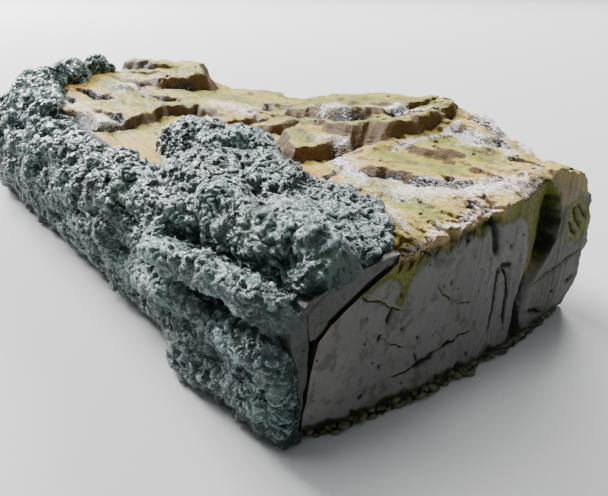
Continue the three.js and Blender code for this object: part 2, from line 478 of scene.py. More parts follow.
@dataclass(frozen=True)
class Side:
    """Sideways reach of a layer against height, on the plain side and at the sawn end."""

    plain: Line
    sawn: Line
    corner_tuck: float = 0.0


@dataclass(frozen=True)
class Terrace:
    """A level of the weathered top: its plan outline, the height at a place and the rise along X and Y."""

    outline: Line
    start: tuple[float, float]
    height: float
    rise_x: float
    rise_y: float
    steepness: float = 2.3


@dataclass(frozen=True)
class Stain:
    """A streak of colour along a line of the top, or in GLARES a streak of painted highlight."""

    line: Line
    width: float


@dataclass(frozen=True)
class Ledge:
    """A small step along a line, higher on its left by a rise that fades over a reach."""

    line: Line
    rise: float
    reach: float


@dataclass(frozen=True)
class Groove:
    """A crack, slot or furrow along a line, with its half width and its depth."""

    line: Line
    width: float
    depth: float


WOOD_SIDE = Side(
    plain=[(0, -60), (12, -61), (25, -59.5), (35, -56.5), (42, -53), (46, -50), (52, -44), (70, -30)],
    sawn=[(0, -60), (12, -61), (25, -59), (33, -57), (37, -53), (42, -44), (49, -29), (70, 0)],
)
INNER_SIDE = Side(
    plain=[(0, -63.5), (12, -64.5), (25, -63), (35, -60), (42, -56.5), (46, -53.5), (52, -48), (70, -34)],
    sawn=[(0, -61), (33, -59.5), (41, -60), (44, -55.5), (48, -49.5), (52, -44), (70, -20)],
)
OUTER_SIDE = Side(
    plain=[(0, -65), (12, -67.5), (25, -66.5), (35, -63.5), (42, -60), (46, -57), (52, -52), (70, -38)],
    sawn=[(0, -63), (8, -65), (25, -65.5), (31, -68), (38, -68), (44, -63), (50, -55), (54, -49), (70, -28)],
    corner_tuck=3.0,
)
MOSS_SIDE = Side(
    plain=[(0, -62), (6, -64.5), (12, -67), (20, -68.5), (28, -68), (36, -66), (42, -63), (48, -58),
           (54, -51), (70, -38)],
    sawn=[(0, -68), (10, -71), (22, -72), (38, -71), (45, -66), (50, -60), (55, -53), (70, -34)],
    corner_tuck=2.5,
)
BACK_SIDE = Side(
    plain=[(0, 65), (8, 68), (20, 70.5), (30, 72), (42, 70.5), (52, 66), (62, 60), (70, 54), (80, 40)],
    sawn=[(0, 64), (5, 64), (19, 67), (27, 68.5), (39, 67), (48, 60), (55, 53), (62, 42), (70, 30)],
)

TERRACES = [
    Terrace([(-190, -90), (190, -90), (190, 90), (-190, 90)], (0, -30), 45.5, 0.0, 0.01),
    Terrace([(84, -90), (190, -90), (190, 90), (84, 90), (80, 36), (84, 0)], (100, -10), 50, 0.0, 0.1, 0.42),
    Terrace([(84, 36), (120, 32), (190, 22), (190, 90), (84, 90)], (96, 34), 57, 0.0, 0.27, 0.6),
    Terrace(
        [(-38, 20), (-2, 14), (20, 31), (48, 31), (62, 32), (68, 36), (80, 35), (87, 37), (91, 46),
         (92, 57), (87, 71), (86, 90), (-30, 90)],
        (42.6, 31), 55.4, 0.15, 0.195,
    ),
    Terrace(
        [(6, 39), (26, 38), (40, 39), (52, 40), (63, 41), (70, 43), (75, 48), (80, 55), (80, 64),
         (76, 72), (74, 90), (6, 90)],
        (40, 39), 60.3, 0.14, 0.11,
    ),
    Terrace(
        [(28, 22), (44, 12), (57, 5), (60, 16), (66, 24), (64, 34), (30, 32)],
        (57, 5), 50.7, 0.0, 0.12, 1.7,
    ),
    Terrace(
        [(-190, -90), (-70, -90), (-69, -40), (-40, -39), (-37, -19), (-51, 3), (-42, 17), (-7, 13),
         (0, 24), (0, 90), (-190, 90)],
        (-50, 0), 51, -0.04, 0.03,
    ),
    Terrace(
        [(-190, 8), (-120, 12), (-98, 15), (-86, 21), (-79, 33), (-76, 42), (-95, 51), (-114, 62),
         (-135, 90), (-190, 90)],
        (-86, 22), 59.0, 0.05, 0.20, 1.7,
    ),
    Terrace(
        [(-190, 24), (-134, 25), (-121, 31), (-116, 42), (-120, 60), (-190, 90)],
        (-120, 35), 63.0, 0.0, 0.0, 1.8,
    ),
]

OLIVE_STAINS = [
    Stain([(92, 74), (112, 72), (134, 66), (150, 56)], 7.0),
    Stain([(-80, 62), (-40, 64), (0, 68), (50, 70)], 8.0),
    Stain([(-18, 44), (20, 50), (60, 52), (86, 58)], 9.0),
    Stain([(-30, 26), (10, 34), (50, 36), (84, 40)], 4.5),
    Stain([(34, 22), (48, 18), (60, 26)], 6.0),
    Stain([(98, 42), (112, 40), (128, 38)], 7.0),
    Stain([(88, 24), (104, 24), (122, 28)], 5.0),
    Stain([(96, 2), (118, 0), (138, -4)], 5.0),
    Stain([(-140, 30), (-110, 42), (-84, 46)], 10.0),
    Stain([(-124, 2), (-100, -2), (-60, 8), (-30, 16)], 8.0),
    Stain([(-90, -24), (-66, -12), (-50, 4)], 7.0),
    Stain([(-34, -34), (-30, -16), (-24, -4)], 9.0),
    Stain([(-76, 26), (-56, 34), (-30, 42)], 9.0),
]
ORANGE_STAINS = [
    Stain([(58, -2), (72, -5), (88, -9), (104, -14)], 8.0),
    Stain([(-132, 0), (-118, -18), (-98, -30)], 6.0),
    Stain([(-46, 4), (-40, -8), (-36, -22)], 5.0),
    Stain([(-20, -42), (10, -45), (34, -45)], 5.0),
    Stain([(110, -9), (134, -14)], 4.0),
    Stain([(-128, 34), (-112, 32)], 5.0),
]
# Streaks of painted highlight (painted glare) on the top of the wood.
GLARES = [
    Stain([(98, 66), (112, 62), (124, 60), (136, 55)], 4.5),
    Stain([(149, -13), (148.5, 0), (149, 12)], 3.6),
    Stain([(120, 4), (134, 16), (147, 30)], 9.0),
    Stain([(74, 15), (92, 5), (104, -2)], 6.0),
    Stain([(58, 22), (70, 28)], 5.0),
    Stain([(-66, -35), (-44, -31)], 6.0),
    Stain([(-42, 27), (-12, 31)], 6.0),
    Stain([(-96, -34), (-78, -33)], 4.0),
    Stain([(30, 43), (62, 45), (86, 52)], 2.6),
    Stain([(88, 31), (96, 42), (99, 54)], 2.6),
    Stain([(-106, 8), (-96, -4)], 6.0),
    Stain([(112, -6), (140, -16)], 3.0),
    Stain([(100, 48), (130, 46)], 4.0),
]

TOP_GROOVES = [
    Groove([(90, 6), (98, 8), (106, 11), (114, 12), (122, 15), (129, 19), (137, 24)], 1.9, 2.6),
    Groove([(124, 22), (126, 22)], 1.7, 4.0),
    Groove([(-70, -39), (-58, -38), (-47, -38), (-40, -36)], 2.2, 4.5),
    Groove([(-51, -26), (-45, -23), (-40, -25)], 2.2, 3.0),
    Groove([(-116, -21), (-108, -18), (-96, -18), (-86, -15), (-80, -15)], 1.6, 3.4),
    Groove([(-94, -4), (-90, -10), (-84, -14)], 1.8, 2.6),
    Groove([(-120, -27), (-104, -30), (-86, -33)], 2.0, 3.4),
    Groove([(-103, 9), (-98, 8), (-92, 9)], 1.8, 2.2),
    Groove([(-81, 4), (-75, 5)], 1.2, 2.0),
    Groove([(-72, 7), (-64, 9), (-57, 13)], 1.3, 2.6),
    Groove([(-84, 20), (-79, 27), (-76, 33)], 1.6, 2.4),
    Groove([(-92, 26), (-85, 32)], 1.8, 2.2),
    Groove([(-135, 8), (-111, 10), (-96, 14)], 1.4, 2.4),
    Groove([(-134, 22), (-128, 30), (-126, 38)], 2.2, 2.4),
    Groove([(-22, 46), (-14, 42), (-8, 38)], 1.5, 2.4),
    Groove([(-8, 31), (-3, 29)], 1.4, 2.2),
    Groove([(62, 27), (65, 21), (69, 18)], 1.8, 3.0),
    Groove([(78, 14), (83, 10)], 1.5, 2.2),
    Groove([(87, 4), (92, 0), (96, -9)], 1.1, 1.8),
    Groove([(98, 51), (106, 49), (114, 48)], 1.4, 2.6),
    Groove([(118, 52), (123, 51)], 1.8, 2.4),
    Groove([(68, 46), (76, 45), (84, 48), (90, 52)], 1.6, 3.2),
    Groove([(24, 44), (36, 39), (52, 37), (62, 39)], 1.6, 2.2),
    Groove([(132, 40), (139, 41), (146, 42)], 0.9, 2.0),
    Groove([(100, 61), (110, 57), (120, 58)], 1.5, 2.4),
    Groove([(128, 60), (136, 56)], 1.2, 2.0),
    Groove([(142, 10), (144, 9)], 1.1, 2.4),
    Groove([(123, -2), (125, -2)], 0.9, 2.0),
]

LEDGES = [
    Ledge([(-122, -20), (-108, -17), (-94, -17), (-84, -13), (-76, -12)], 2.4, 7.0),
    Ledge([(-112, -3), (-102, -4), (-92, -6), (-86, -11)], 1.8, 5.0),
    Ledge([(-82, 2), (-66, 7), (-57, 13), (-50, 15)], 2.2, 7.0),
    Ledge([(-68, -28), (-56, -27), (-46, -24), (-38, -22)], 1.6, 5.0),
    Ledge([(-138, 17), (-124, 20), (-110, 26), (-96, 31)], 2.4, 7.0),
    Ledge([(-30, 30), (-14, 33), (2, 38), (14, 40)], 1.4, 6.0),
    Ledge([(-34, 44), (-16, 46), (4, 50), (22, 51)], 1.4, 6.0),
    Ledge([(10, 40), (30, 41), (50, 38), (66, 41)], 2.0, 7.0),
    Ledge([(34, 50), (52, 48), (70, 50), (84, 55)], 1.8, 6.0),
    Ledge([(88, 5), (100, 9), (112, 12), (124, 16), (138, 24)], 1.7, 6.0),
    Ledge([(96, 50), (108, 49), (118, 49), (128, 52)], 2.2, 7.0),
    Ledge([(96, 30), (108, 32), (122, 33)], 0.9, 5.0),
    Ledge([(60, 11), (70, 13), (80, 13), (90, 8)], 1.2, 5.0),
    Ledge([(30, 12), (42, 8), (52, 6)], 1.2, 4.0),
    Ledge([(38, 24), (50, 19), (60, 20)], 1.2, 4.0),
]

# Edge of the moss round the bare top, as an outline of (x, y).
BARE_WOOD = [
    (165, -48), (153, -39), (148, -31), (141, -22), (132, -15), (118, -13), (110, -15), (102, -17), (88, -16),
    (74, -13), (60, -2), (44, 6), (24, 2), (4, -6), (-20, 3), (0, -20), (40, -42), (32, -45), (-18, -47),
    (-66, -45), (-92, -38), (-112, -33), (-129, -19), (-143, -3), (-151, 14), (-162, 30), (-166, 95),
    (165, 95),
]

# Where the foot of the sawn end stands along the log, against place across it.
END_FOOT = [
    (-66, 146), (-60, 147.5), (-56, 149), (-49, 151.8), (-42, 152.6), (-35, 153.4), (-28, 155), (-21, 155.9),
    (-12, 156), (-2, 155), (6, 154.3), (12, 153.7), (24, 153.4), (40, 151.5), (62, 148),
]

# How steeply the top sinks to the back, against place along the log.
BACK_FALL = [(-158, 0.13), (-86, 0.16), (-69, 0.09), (-45, 0), (158, 0)]

# The deep crack on the sawn end against height: its wall, where its left slope starts and how deep it goes.
CRACK_WALL = [
    (18, 34), (24, 37.5), (28, 41), (34, 45.5), (40, 46.5), (46, 45), (50, 42), (54, 38.5), (60, 32),
]
CRACK_START = [(18, 30), (24, 29.5), (30, 30.5), (38, 30), (45, 27.5), (50, 24), (56, 20), (60, 16)]
CRACK_DEPTH = [(18, 1.5), (23, 3), (30, 6), (38, 7.5), (44, 6.5), (49, 4.4), (53, 2.4), (57, 0.8), (61, 0)]

# Height on the sawn end above which moss hangs over the bark, against place across it.
MOSS_LINE = [(-68, 37), (-61, 41), (-53, 45), (-48, 47.5), (-43, 48.5), (-36, 49.5), (-30, 51)]


@dataclass(frozen=True)
class LogForm:
    """The shape of the whole log, which every layer follows."""

    half_length: float = 158.0
    half_width: float = 72.0
    sawn_x: float = 151.0
    sawn_bulge: float = 1.5
    flare_height: float = 15.0
    end_zone: float = 118.0
    open_zone: tuple[float, float] = (140.0, 147.0)
    wood_far_x: float = -147.0
    far_rounding: float = 40.0
    far_tuck: float = 26.0
    bevel: tuple[float, float] = (50.0, 115.0)
    bevel_edge: tuple[float, float] = (-42.0, -30.0)
    bevel_rise: float = 3.0
    back_turn: tuple[float, float] = (88.0, 130.0)
    corner_start: float = 134.0
    base_height: float = 4.0
    riser_rounding: float = 2.2
    plain_steepness: float = 1.6
    layer_height: float = 1.7
    layer_share: float = 0.3
    knot_at: tuple[float, float] = (-99.0, 1.0)
    knot_radius: tuple[float, float] = (10.0, 6.0)
    knot_height: float = 2.6
    hump_at: tuple[float, float] = (42.0, -16.0)
    hump_radius: tuple[float, float] = (62.0, 22.0)
    hump_turn: float = -0.12
    hump_height: float = 9.0
    moss_depth: float = 3.0
    noise: Noise = Noise(11)

    def far_tucked(self, x: Array) -> Array:
        """How far the far end has drawn in, from 0 on the straight part to 1 at the tip."""
        along = np.clip((-self.half_length + self.far_rounding - x) / self.far_rounding, 0.0, 1.0)
        return 1.0 - np.sqrt(1.0 - along * along)

    def near_end(self, x: Array) -> Array:
        """Share, from 0 to 1, that a place has in the form of the sawn end."""
        return np.clip((x - self.end_zone) / (self.sawn_x - self.end_zone), 0.0, 1.0) ** 2

    def covered(self, x: Array) -> Array:
        """1 where a layer is hidden under the next one, 0 where the sawn end shows it."""
        return 1.0 - ramp(x, *self.open_zone)

    def bevel_lip(self, x: Array, y: Array) -> Array:
        """Rise of the top along the bevelled corner beside the sawn end."""
        return self.bevel_rise * ramp(x, *self.bevel) * (1.0 - ramp(y, *self.bevel_edge))

    def front(self, side: Side, x: Array, z: Array) -> Array:
        """Front side of a layer.

        Args:
            side: sideways reach of the layer.
            x: place along the log.
            z: height.

        Returns:
            Its place across the log.
        """
        share = ramp(x, *self.bevel)
        reach = mix(read_line(side.plain, z), read_line(side.sawn, z), share)
        corner = np.clip((x - self.corner_start) / (self.sawn_x - self.corner_start), 0.0, 1.0) ** 2
        return reach + self.far_tuck * self.far_tucked(x) + side.corner_tuck * corner

    def back(self, x: Array, z: Array) -> Array:
        """Back side of the log.

        Args:
            x: place along the log.
            z: height.

        Returns:
            Its place across the log.
        """
        share = ramp(x, *self.back_turn)
        reach = mix(read_line(BACK_SIDE.plain, z), read_line(BACK_SIDE.sawn, z), share)
        return reach - self.far_tuck * self.far_tucked(x)

    def sawn_face(self, y: Array, z: Array) -> Array:
        """Sawn end, a little proud in its middle and flaring at its foot.

        Args:
            y: place across the log.
            z: height.

        Returns:
            Its place along the log.
        """
        plain = self.sawn_x + self.sawn_bulge * (1.0 - (y / self.half_width) ** 2)
        flare = np.clip(1.0 - z / self.flare_height, 0.0, 1.0) ** 1.5
        return plain + flare * (read_line(END_FOOT, y) - plain)

    def side_height(self, x: Array) -> Array:
        """Height at which the sides are read where they meet the top."""
        return read_line([(-150, 54), (84, 54), (132, 50), (160, 50)], x)

    def back_fall(self, x: Array, y: Array) -> Array:
        """How far the top sinks towards the back of the log."""
        near = 11.0 * ramp(x, 104.0, 151.0) * np.clip((y - 38.0) / 22.0, 0.0, 1.2) ** 1.5
        return read_line(BACK_FALL, x) * np.maximum(0.0, y - 22.0) + near

    def terraces(self, x: Array, y: Array, drops: list[Array]) -> Array:
        """Highest of the terraces, each falling away past its outline, with the fall to the back.

        Args:
            x: place along the log.
            y: place across it.
            drops: how far each terrace has dropped at each place.

        Returns:
            The height.
        """
        levels = []
        for terrace, drop in zip(TERRACES, drops):
            rise = terrace.rise_x * (x - terrace.start[0]) + terrace.rise_y * (y - terrace.start[1])
            levels.append(terrace.height + rise - drop)
        return np.max(levels, axis=0) - self.back_fall(x, y)

    def plain_top(self, x: Array, y: Array) -> Array:
        """Top of the wood from its terraces alone, with soft risers.

        Args:
            x: place along the log.
            y: place across it.

        Returns:
            The height.
        """
        past = [np.maximum(0.0, outline_distance(terrace.outline, x, y)) for terrace in TERRACES]
        return self.terraces(x, y, [self.plain_steepness * gap for gap in past])

    def ragged_terraces(self, x: Array, y: Array, bent: Array) -> Array:
        """Terraces with ragged outlines, round upper edges and steep risers.

        Args:
            x: place along the log.
            y: place across it.
            bent: the same places pushed about, which the outlines are read at.

        Returns:
            The height.
        """
        soft = self.riser_rounding
        drops = []
        for terrace in TERRACES:
            past = np.maximum(0.0, outline_distance(terrace.outline, bent[:, 0], bent[:, 1]) + soft)
            drops.append(terrace.steepness * np.where(past < soft, 0.5 * past**2 / soft, past - 0.5 * soft))
        return self.terraces(x, y, drops)

    def wood_top(self, x: Array, y: Array) -> Array:
        """Top of the weathered wood, with ragged ledges, split layers, cracks and grain.

        Args:
            x: place along the log.
            y: place across it.

        Returns:
            The height.
        """
        noise = self.noise
        plan = rows(x, y)
        grain = plan * np.array([0.45, 1.0, 1.0])
        bent = noise.bend(noise.bend(plan, 15.0, 3.0), 5.0, 1.1)
        top = self.ragged_terraces(x, y, bent)
        top += 1.5 * noise.layered(grain, (13, 9, 9), 3)
        spots = bent[:, :2]
        for ledge in LEDGES:
            side = side_distance(ledge.line, spots)
            _, share = line_distance(ledge.line, spots)
            fade = end_fade(share, 5.0)
            top += 0.5 * ledge.rise * fade * np.tanh(side / 0.8) * np.exp(-np.abs(side) / ledge.reach)
        for groove in TOP_GROOVES:
            gap, share = line_distance(groove.line, spots)
            top -= groove.depth * end_fade(share, 4.0, 0.1) * bell(gap, groove.width)
        level = top / self.layer_height
        stair = (np.floor(level) + ramp(level - np.floor(level), 0.35, 0.95)) * self.layer_height
        top = mix(top, stair, self.layer_share)
        top += 0.34 * noise.ridged(grain + 12.0, (5.0, 4.2, 9.0))
        top += 0.30 * noise.smooth(plan, 3.0) + 0.16 * noise.smooth(plan + 9.0, 1.6)
        near, _, owner = noise.cells(plan + 4.0, 5.5)
        top -= 1.3 * (owner > 0.68) * (1.0 - ramp(near, 0.09, 0.17))
        return top - self.edge_chips(x, y) - self.crack_notch(x, y) + self.knot(x, y)

    def knot(self, x: Array, y: Array) -> Array:
        """Lump of an old knot near the far end."""
        along, across = self.knot_radius
        reach = np.hypot((x - self.knot_at[0]) / along, (y - self.knot_at[1]) / across)
        return self.knot_height * (1.0 - ramp(reach, 0.3, 1.0))

    def edge_chips(self, x: Array, y: Array) -> Array:
        """Splintered top edge of the sawn end.

        Args:
            x: place along the log.
            y: place across it.

        Returns:
            How far the top has chipped off.
        """
        near_edge = np.clip((x - 137.0) / 9.0, 0.0, 1.0)
        span = ramp(y, -34.0, -26.0) * (1.0 - ramp(y, 12.0, 22.0))
        near, second, owner = self.noise.cells(self.noise.bend(rows(x, y), 4.0, 1.0), (9.0, 2.6, 9.0))
        crease = 1.4 * (1.0 - ramp(second - near, 0.0, 0.16))
        return near_edge * span * (2.0 * owner - 0.4 + 0.7 * crease)

    def crack_notch(self, x: Array, y: Array) -> Array:
        """How far the deep crack lowers the top beside the sawn end."""
        fall = np.clip((x - 145.0) / 6.0, 0.0, 1.0) ** 1.5
        return 3.0 * fall * ramp(y, 18.0, 30.0) * (1.0 - ramp(y, 36.0, 42.0))

    def crack_hollow(self, y: Array, z: Array) -> Array:
        """Deep crack in the sawn end, sloping in from its left and stopping at a wall.

        Args:
            y: place across the log.
            z: height.

        Returns:
            How far it goes in.
        """
        wall, start, depth = (read_line(line, z) for line in (CRACK_WALL, CRACK_START, CRACK_DEPTH))
        slope = np.clip((y - start + 3.0) / (wall - start + 3.0), 0.0, 1.0) ** 1.5
        upper = ramp(z, 17.0, 24.0)
        return depth * upper * slope * (1.0 - ramp(y, wall - 0.3, wall + 1.2))

    def moss_line(self, y: Array) -> Array:
        """Height on the sawn end above which moss hangs over the bark."""
        return read_line(MOSS_LINE, y)

    def moss_top(self, x: Array, y: Array) -> Array:
        """Top of the moss: a blanket with a hump and a high rim at the far end.

        Args:
            x: place along the log.
            y: place across it.

        Returns:
            The height.
        """
        dx, dy = x - self.hump_at[0], y - self.hump_at[1]
        turn = self.hump_turn
        along = (dx * math.cos(turn) + dy * math.sin(turn)) / self.hump_radius[0]
        across = (dy * math.cos(turn) - dx * math.sin(turn)) / self.hump_radius[1]
        hump = self.hump_height * np.maximum(0.0, 1.0 - along**2 - across**2)
        rim = 5.0 * (1.0 - ramp(x, -140.0, -112.0)) * (1.0 - ramp(y, 8.0, 26.0))
        shoulder = 16.0 * (1.0 - ramp(y, -56.0, -20.0)) * self.far_tucked(x + 20.0)
        return self.plain_top(x, y) + self.bevel_lip(x, y) + self.moss_depth + hump + rim - shoulder


FORM = LogForm()


# ------------------------------------------------------------
# Finishes
# ------------------------------------------------------------

Colour = tuple[float, float, float]
Socket = bpy.types.NodeSocket

# Numbers of the Mix node's colour sockets, which share their names with those for plain values.
MIX_UNDER, MIX_OVER, MIX_RESULT = 6, 7, 2


class Sum(Enum):
    """A step of arithmetic on a material's values."""

    PLUS = "ADD"
    MINUS = "SUBTRACT"
    TIMES = "MULTIPLY"
    SIZE = "ABSOLUTE"


class Recipe:
    """Short calls for building a material's nodes."""

    def __init__(self, name: str) -> None:
        """Start an empty material with a shader and its output.

        Args:
            name: name of the material.
        """
        self.material = bpy.data.materials.new(name)
        self.material.use_nodes = True
        self.tree = self.material.node_tree
        self.tree.nodes.clear()
        self.shader = self.tree.nodes.new("ShaderNodeBsdfPrincipled")
        output = self.tree.nodes.new("ShaderNodeOutputMaterial")
        self.tree.links.new(self.shader.outputs["BSDF"], output.inputs["Surface"])
        self.places = self.tree.nodes.new("ShaderNodeTexCoord").outputs["Object"]

    def put(self, socket: Socket, value: Socket | float | Colour) -> None:
        """Link or set a socket.

        Args:
            socket: the socket.
            value: what to link to it or set it to.
        """
        if isinstance(value, bpy.types.NodeSocket):
            self.tree.links.new(value, socket)
        elif isinstance(value, tuple) and len(socket.default_value) == 4:
            socket.default_value = (*value, 1.0)
        else:
            socket.default_value = value

    def stretched(self, scale: Colour) -> Socket:
        """Object places in millimetres, scaled per axis.

        Args:
            scale: how many units of a pattern one millimetre makes, per axis.

        Returns:
            The places.
        """
        node = self.tree.nodes.new("ShaderNodeMapping")
        self.put(node.inputs["Vector"], self.places)
        node.inputs["Scale"].default_value = tuple(part / MM for part in scale)
        return node.outputs["Vector"]

    def noise(self, places: Socket, scale: float, detail: float = 3.0, rough: float = 0.55,
              distortion: float = 0.0) -> Socket:
        """Noise value from 0 to 1.

        Args:
            places: where the noise is read.
            scale: waves a millimetre.
            detail: layers of finer noise.
            rough: strength of those layers.
            distortion: how far the noise curls in itself.

        Returns:
            The value.
        """
        node = self.tree.nodes.new("ShaderNodeTexNoise")
        self.put(node.inputs["Vector"], places)
        settings = {"Scale": scale, "Detail": detail, "Roughness": rough, "Distortion": distortion}
        for name, number in settings.items():
            node.inputs[name].default_value = number
        return node.outputs["Fac"]

    def pores(self, places: Socket, scale: float, rim: float, core: float, rarity: float) -> Socket:
        """Scattered round pores.

        Args:
            places: where they are read.
            scale: cells a millimetre, of which each may hold one pore.
            rim: outer radius of a pore in cell widths.
            core: radius inside which a pore is full.
            rarity: share of the cells that stay without one.

        Returns:
            1 in a pore and 0 outside it.
        """
        node = self.tree.nodes.new("ShaderNodeTexVoronoi")
        self.put(node.inputs["Vector"], places)
        node.inputs["Scale"].default_value = scale
        chosen = self.between(node.outputs["Color"], rarity, rarity + 0.02)
        return self.times(self.between(node.outputs["Distance"], rim, core), chosen)

    def value(self, name: str) -> Socket:
        """A number stored on the mesh."""
        node = self.tree.nodes.new("ShaderNodeAttribute")
        node.attribute_name = name
        return node.outputs["Fac"]

    def sums(self, operation: Sum, *values: Socket | float) -> Socket:
        """One step of arithmetic.

        Args:
            operation: which step.
            values: the one or two values it works on.

        Returns:
            The result.
        """
        node = self.tree.nodes.new("ShaderNodeMath")
        node.operation = operation.value
        for socket, value in zip(node.inputs, values):
            self.put(socket, value)
        return node.outputs["Value"]

    def plus(self, a: Socket | float, b: Socket | float) -> Socket:
        """Sum of two values."""
        return self.sums(Sum.PLUS, a, b)

    def minus(self, a: Socket | float, b: Socket | float) -> Socket:
        """Difference of two values."""
        return self.sums(Sum.MINUS, a, b)

    def times(self, a: Socket | float, b: Socket | float) -> Socket:
        """Product of two values."""
        return self.sums(Sum.TIMES, a, b)

    def size(self, a: Socket) -> Socket:
        """A value without its sign."""
        return self.sums(Sum.SIZE, a)

    def swing(self, noise: Socket, reach: float) -> Socket:
        """Noise moved to swing about 0, as strong as its reach."""
        return self.times(self.minus(noise, 0.5), reach)

    def between(self, value: Socket, low: float, high: float, start: float = 0.0, end: float = 1.0) -> Socket:
        """Smooth ramp of a value.

        Args:
            value: what is read.
            low: value at which the ramp starts.
            high: value at which it ends.
            start: result at low.
            end: result at high.

        Returns:
            The result.
        """
        node = self.tree.nodes.new("ShaderNodeMapRange")
        node.interpolation_type = "SMOOTHSTEP"
        self.put(node.inputs["Value"], value)
        for name, number in (("From Min", low), ("From Max", high), ("To Min", start), ("To Max", end)):
            node.inputs[name].default_value = number
        return node.outputs["Result"]

    def paint(self, under: Socket | Colour, over: Socket | Colour, share: Socket | float) -> Socket:
        """Lay one colour over another.

        Args:
            under: the lower colour.
            over: the upper colour.
            share: how far the upper one covers, from 0 to 1.

        Returns:
            The colour.
        """
        node = self.tree.nodes.new("ShaderNodeMix")
        node.data_type = "RGBA"
        self.put(node.inputs["Factor"], share)
        self.put(node.inputs[MIX_UNDER], under)
        self.put(node.inputs[MIX_OVER], over)
        return node.outputs[MIX_RESULT]

    def bump(self, height: Socket, distance: float, strength: float) -> Socket:
        """Bump from a height value.

        Args:
            height: the value.
            distance: height in millimetres of a step from 0 to 1.
            strength: share of it that shows.

        Returns:
            The bumped normal.
        """
        node = self.tree.nodes.new("ShaderNodeBump")
        node.inputs["Strength"].default_value = strength
        node.inputs["Distance"].default_value = distance * MM
        self.put(node.inputs["Height"], height)
        return node.outputs["Normal"]

    def finish(self, colour: Socket, rough: Socket | float, normal: Socket, coat: float, coat_rough: float,
               shine: float = 0.5, tint: Colour = (1.0, 1.0, 1.0)) -> None:
        """Connect the shader.

        Args:
            colour: base colour.
            rough: roughness.
            normal: bumped normal.
            coat: weight of the varnish.
            coat_rough: roughness of the varnish.
            shine: strength of the reflection under the varnish.
            tint: colour of that reflection.
        """
        self.put(self.shader.inputs["Base Color"], colour)
        self.put(self.shader.inputs["Roughness"], rough)
        self.put(self.shader.inputs["Normal"], normal)
        self.put(self.shader.inputs["Coat Normal"], normal)
        self.shader.inputs["Coat Weight"].default_value = coat
        self.shader.inputs["Coat Roughness"].default_value = coat_rough
        self.shader.inputs["Coat IOR"].default_value = 1.5
        self.shader.inputs["Specular IOR Level"].default_value = shine
        self.shader.inputs["Specular Tint"].default_value = (*tint, 1.0)


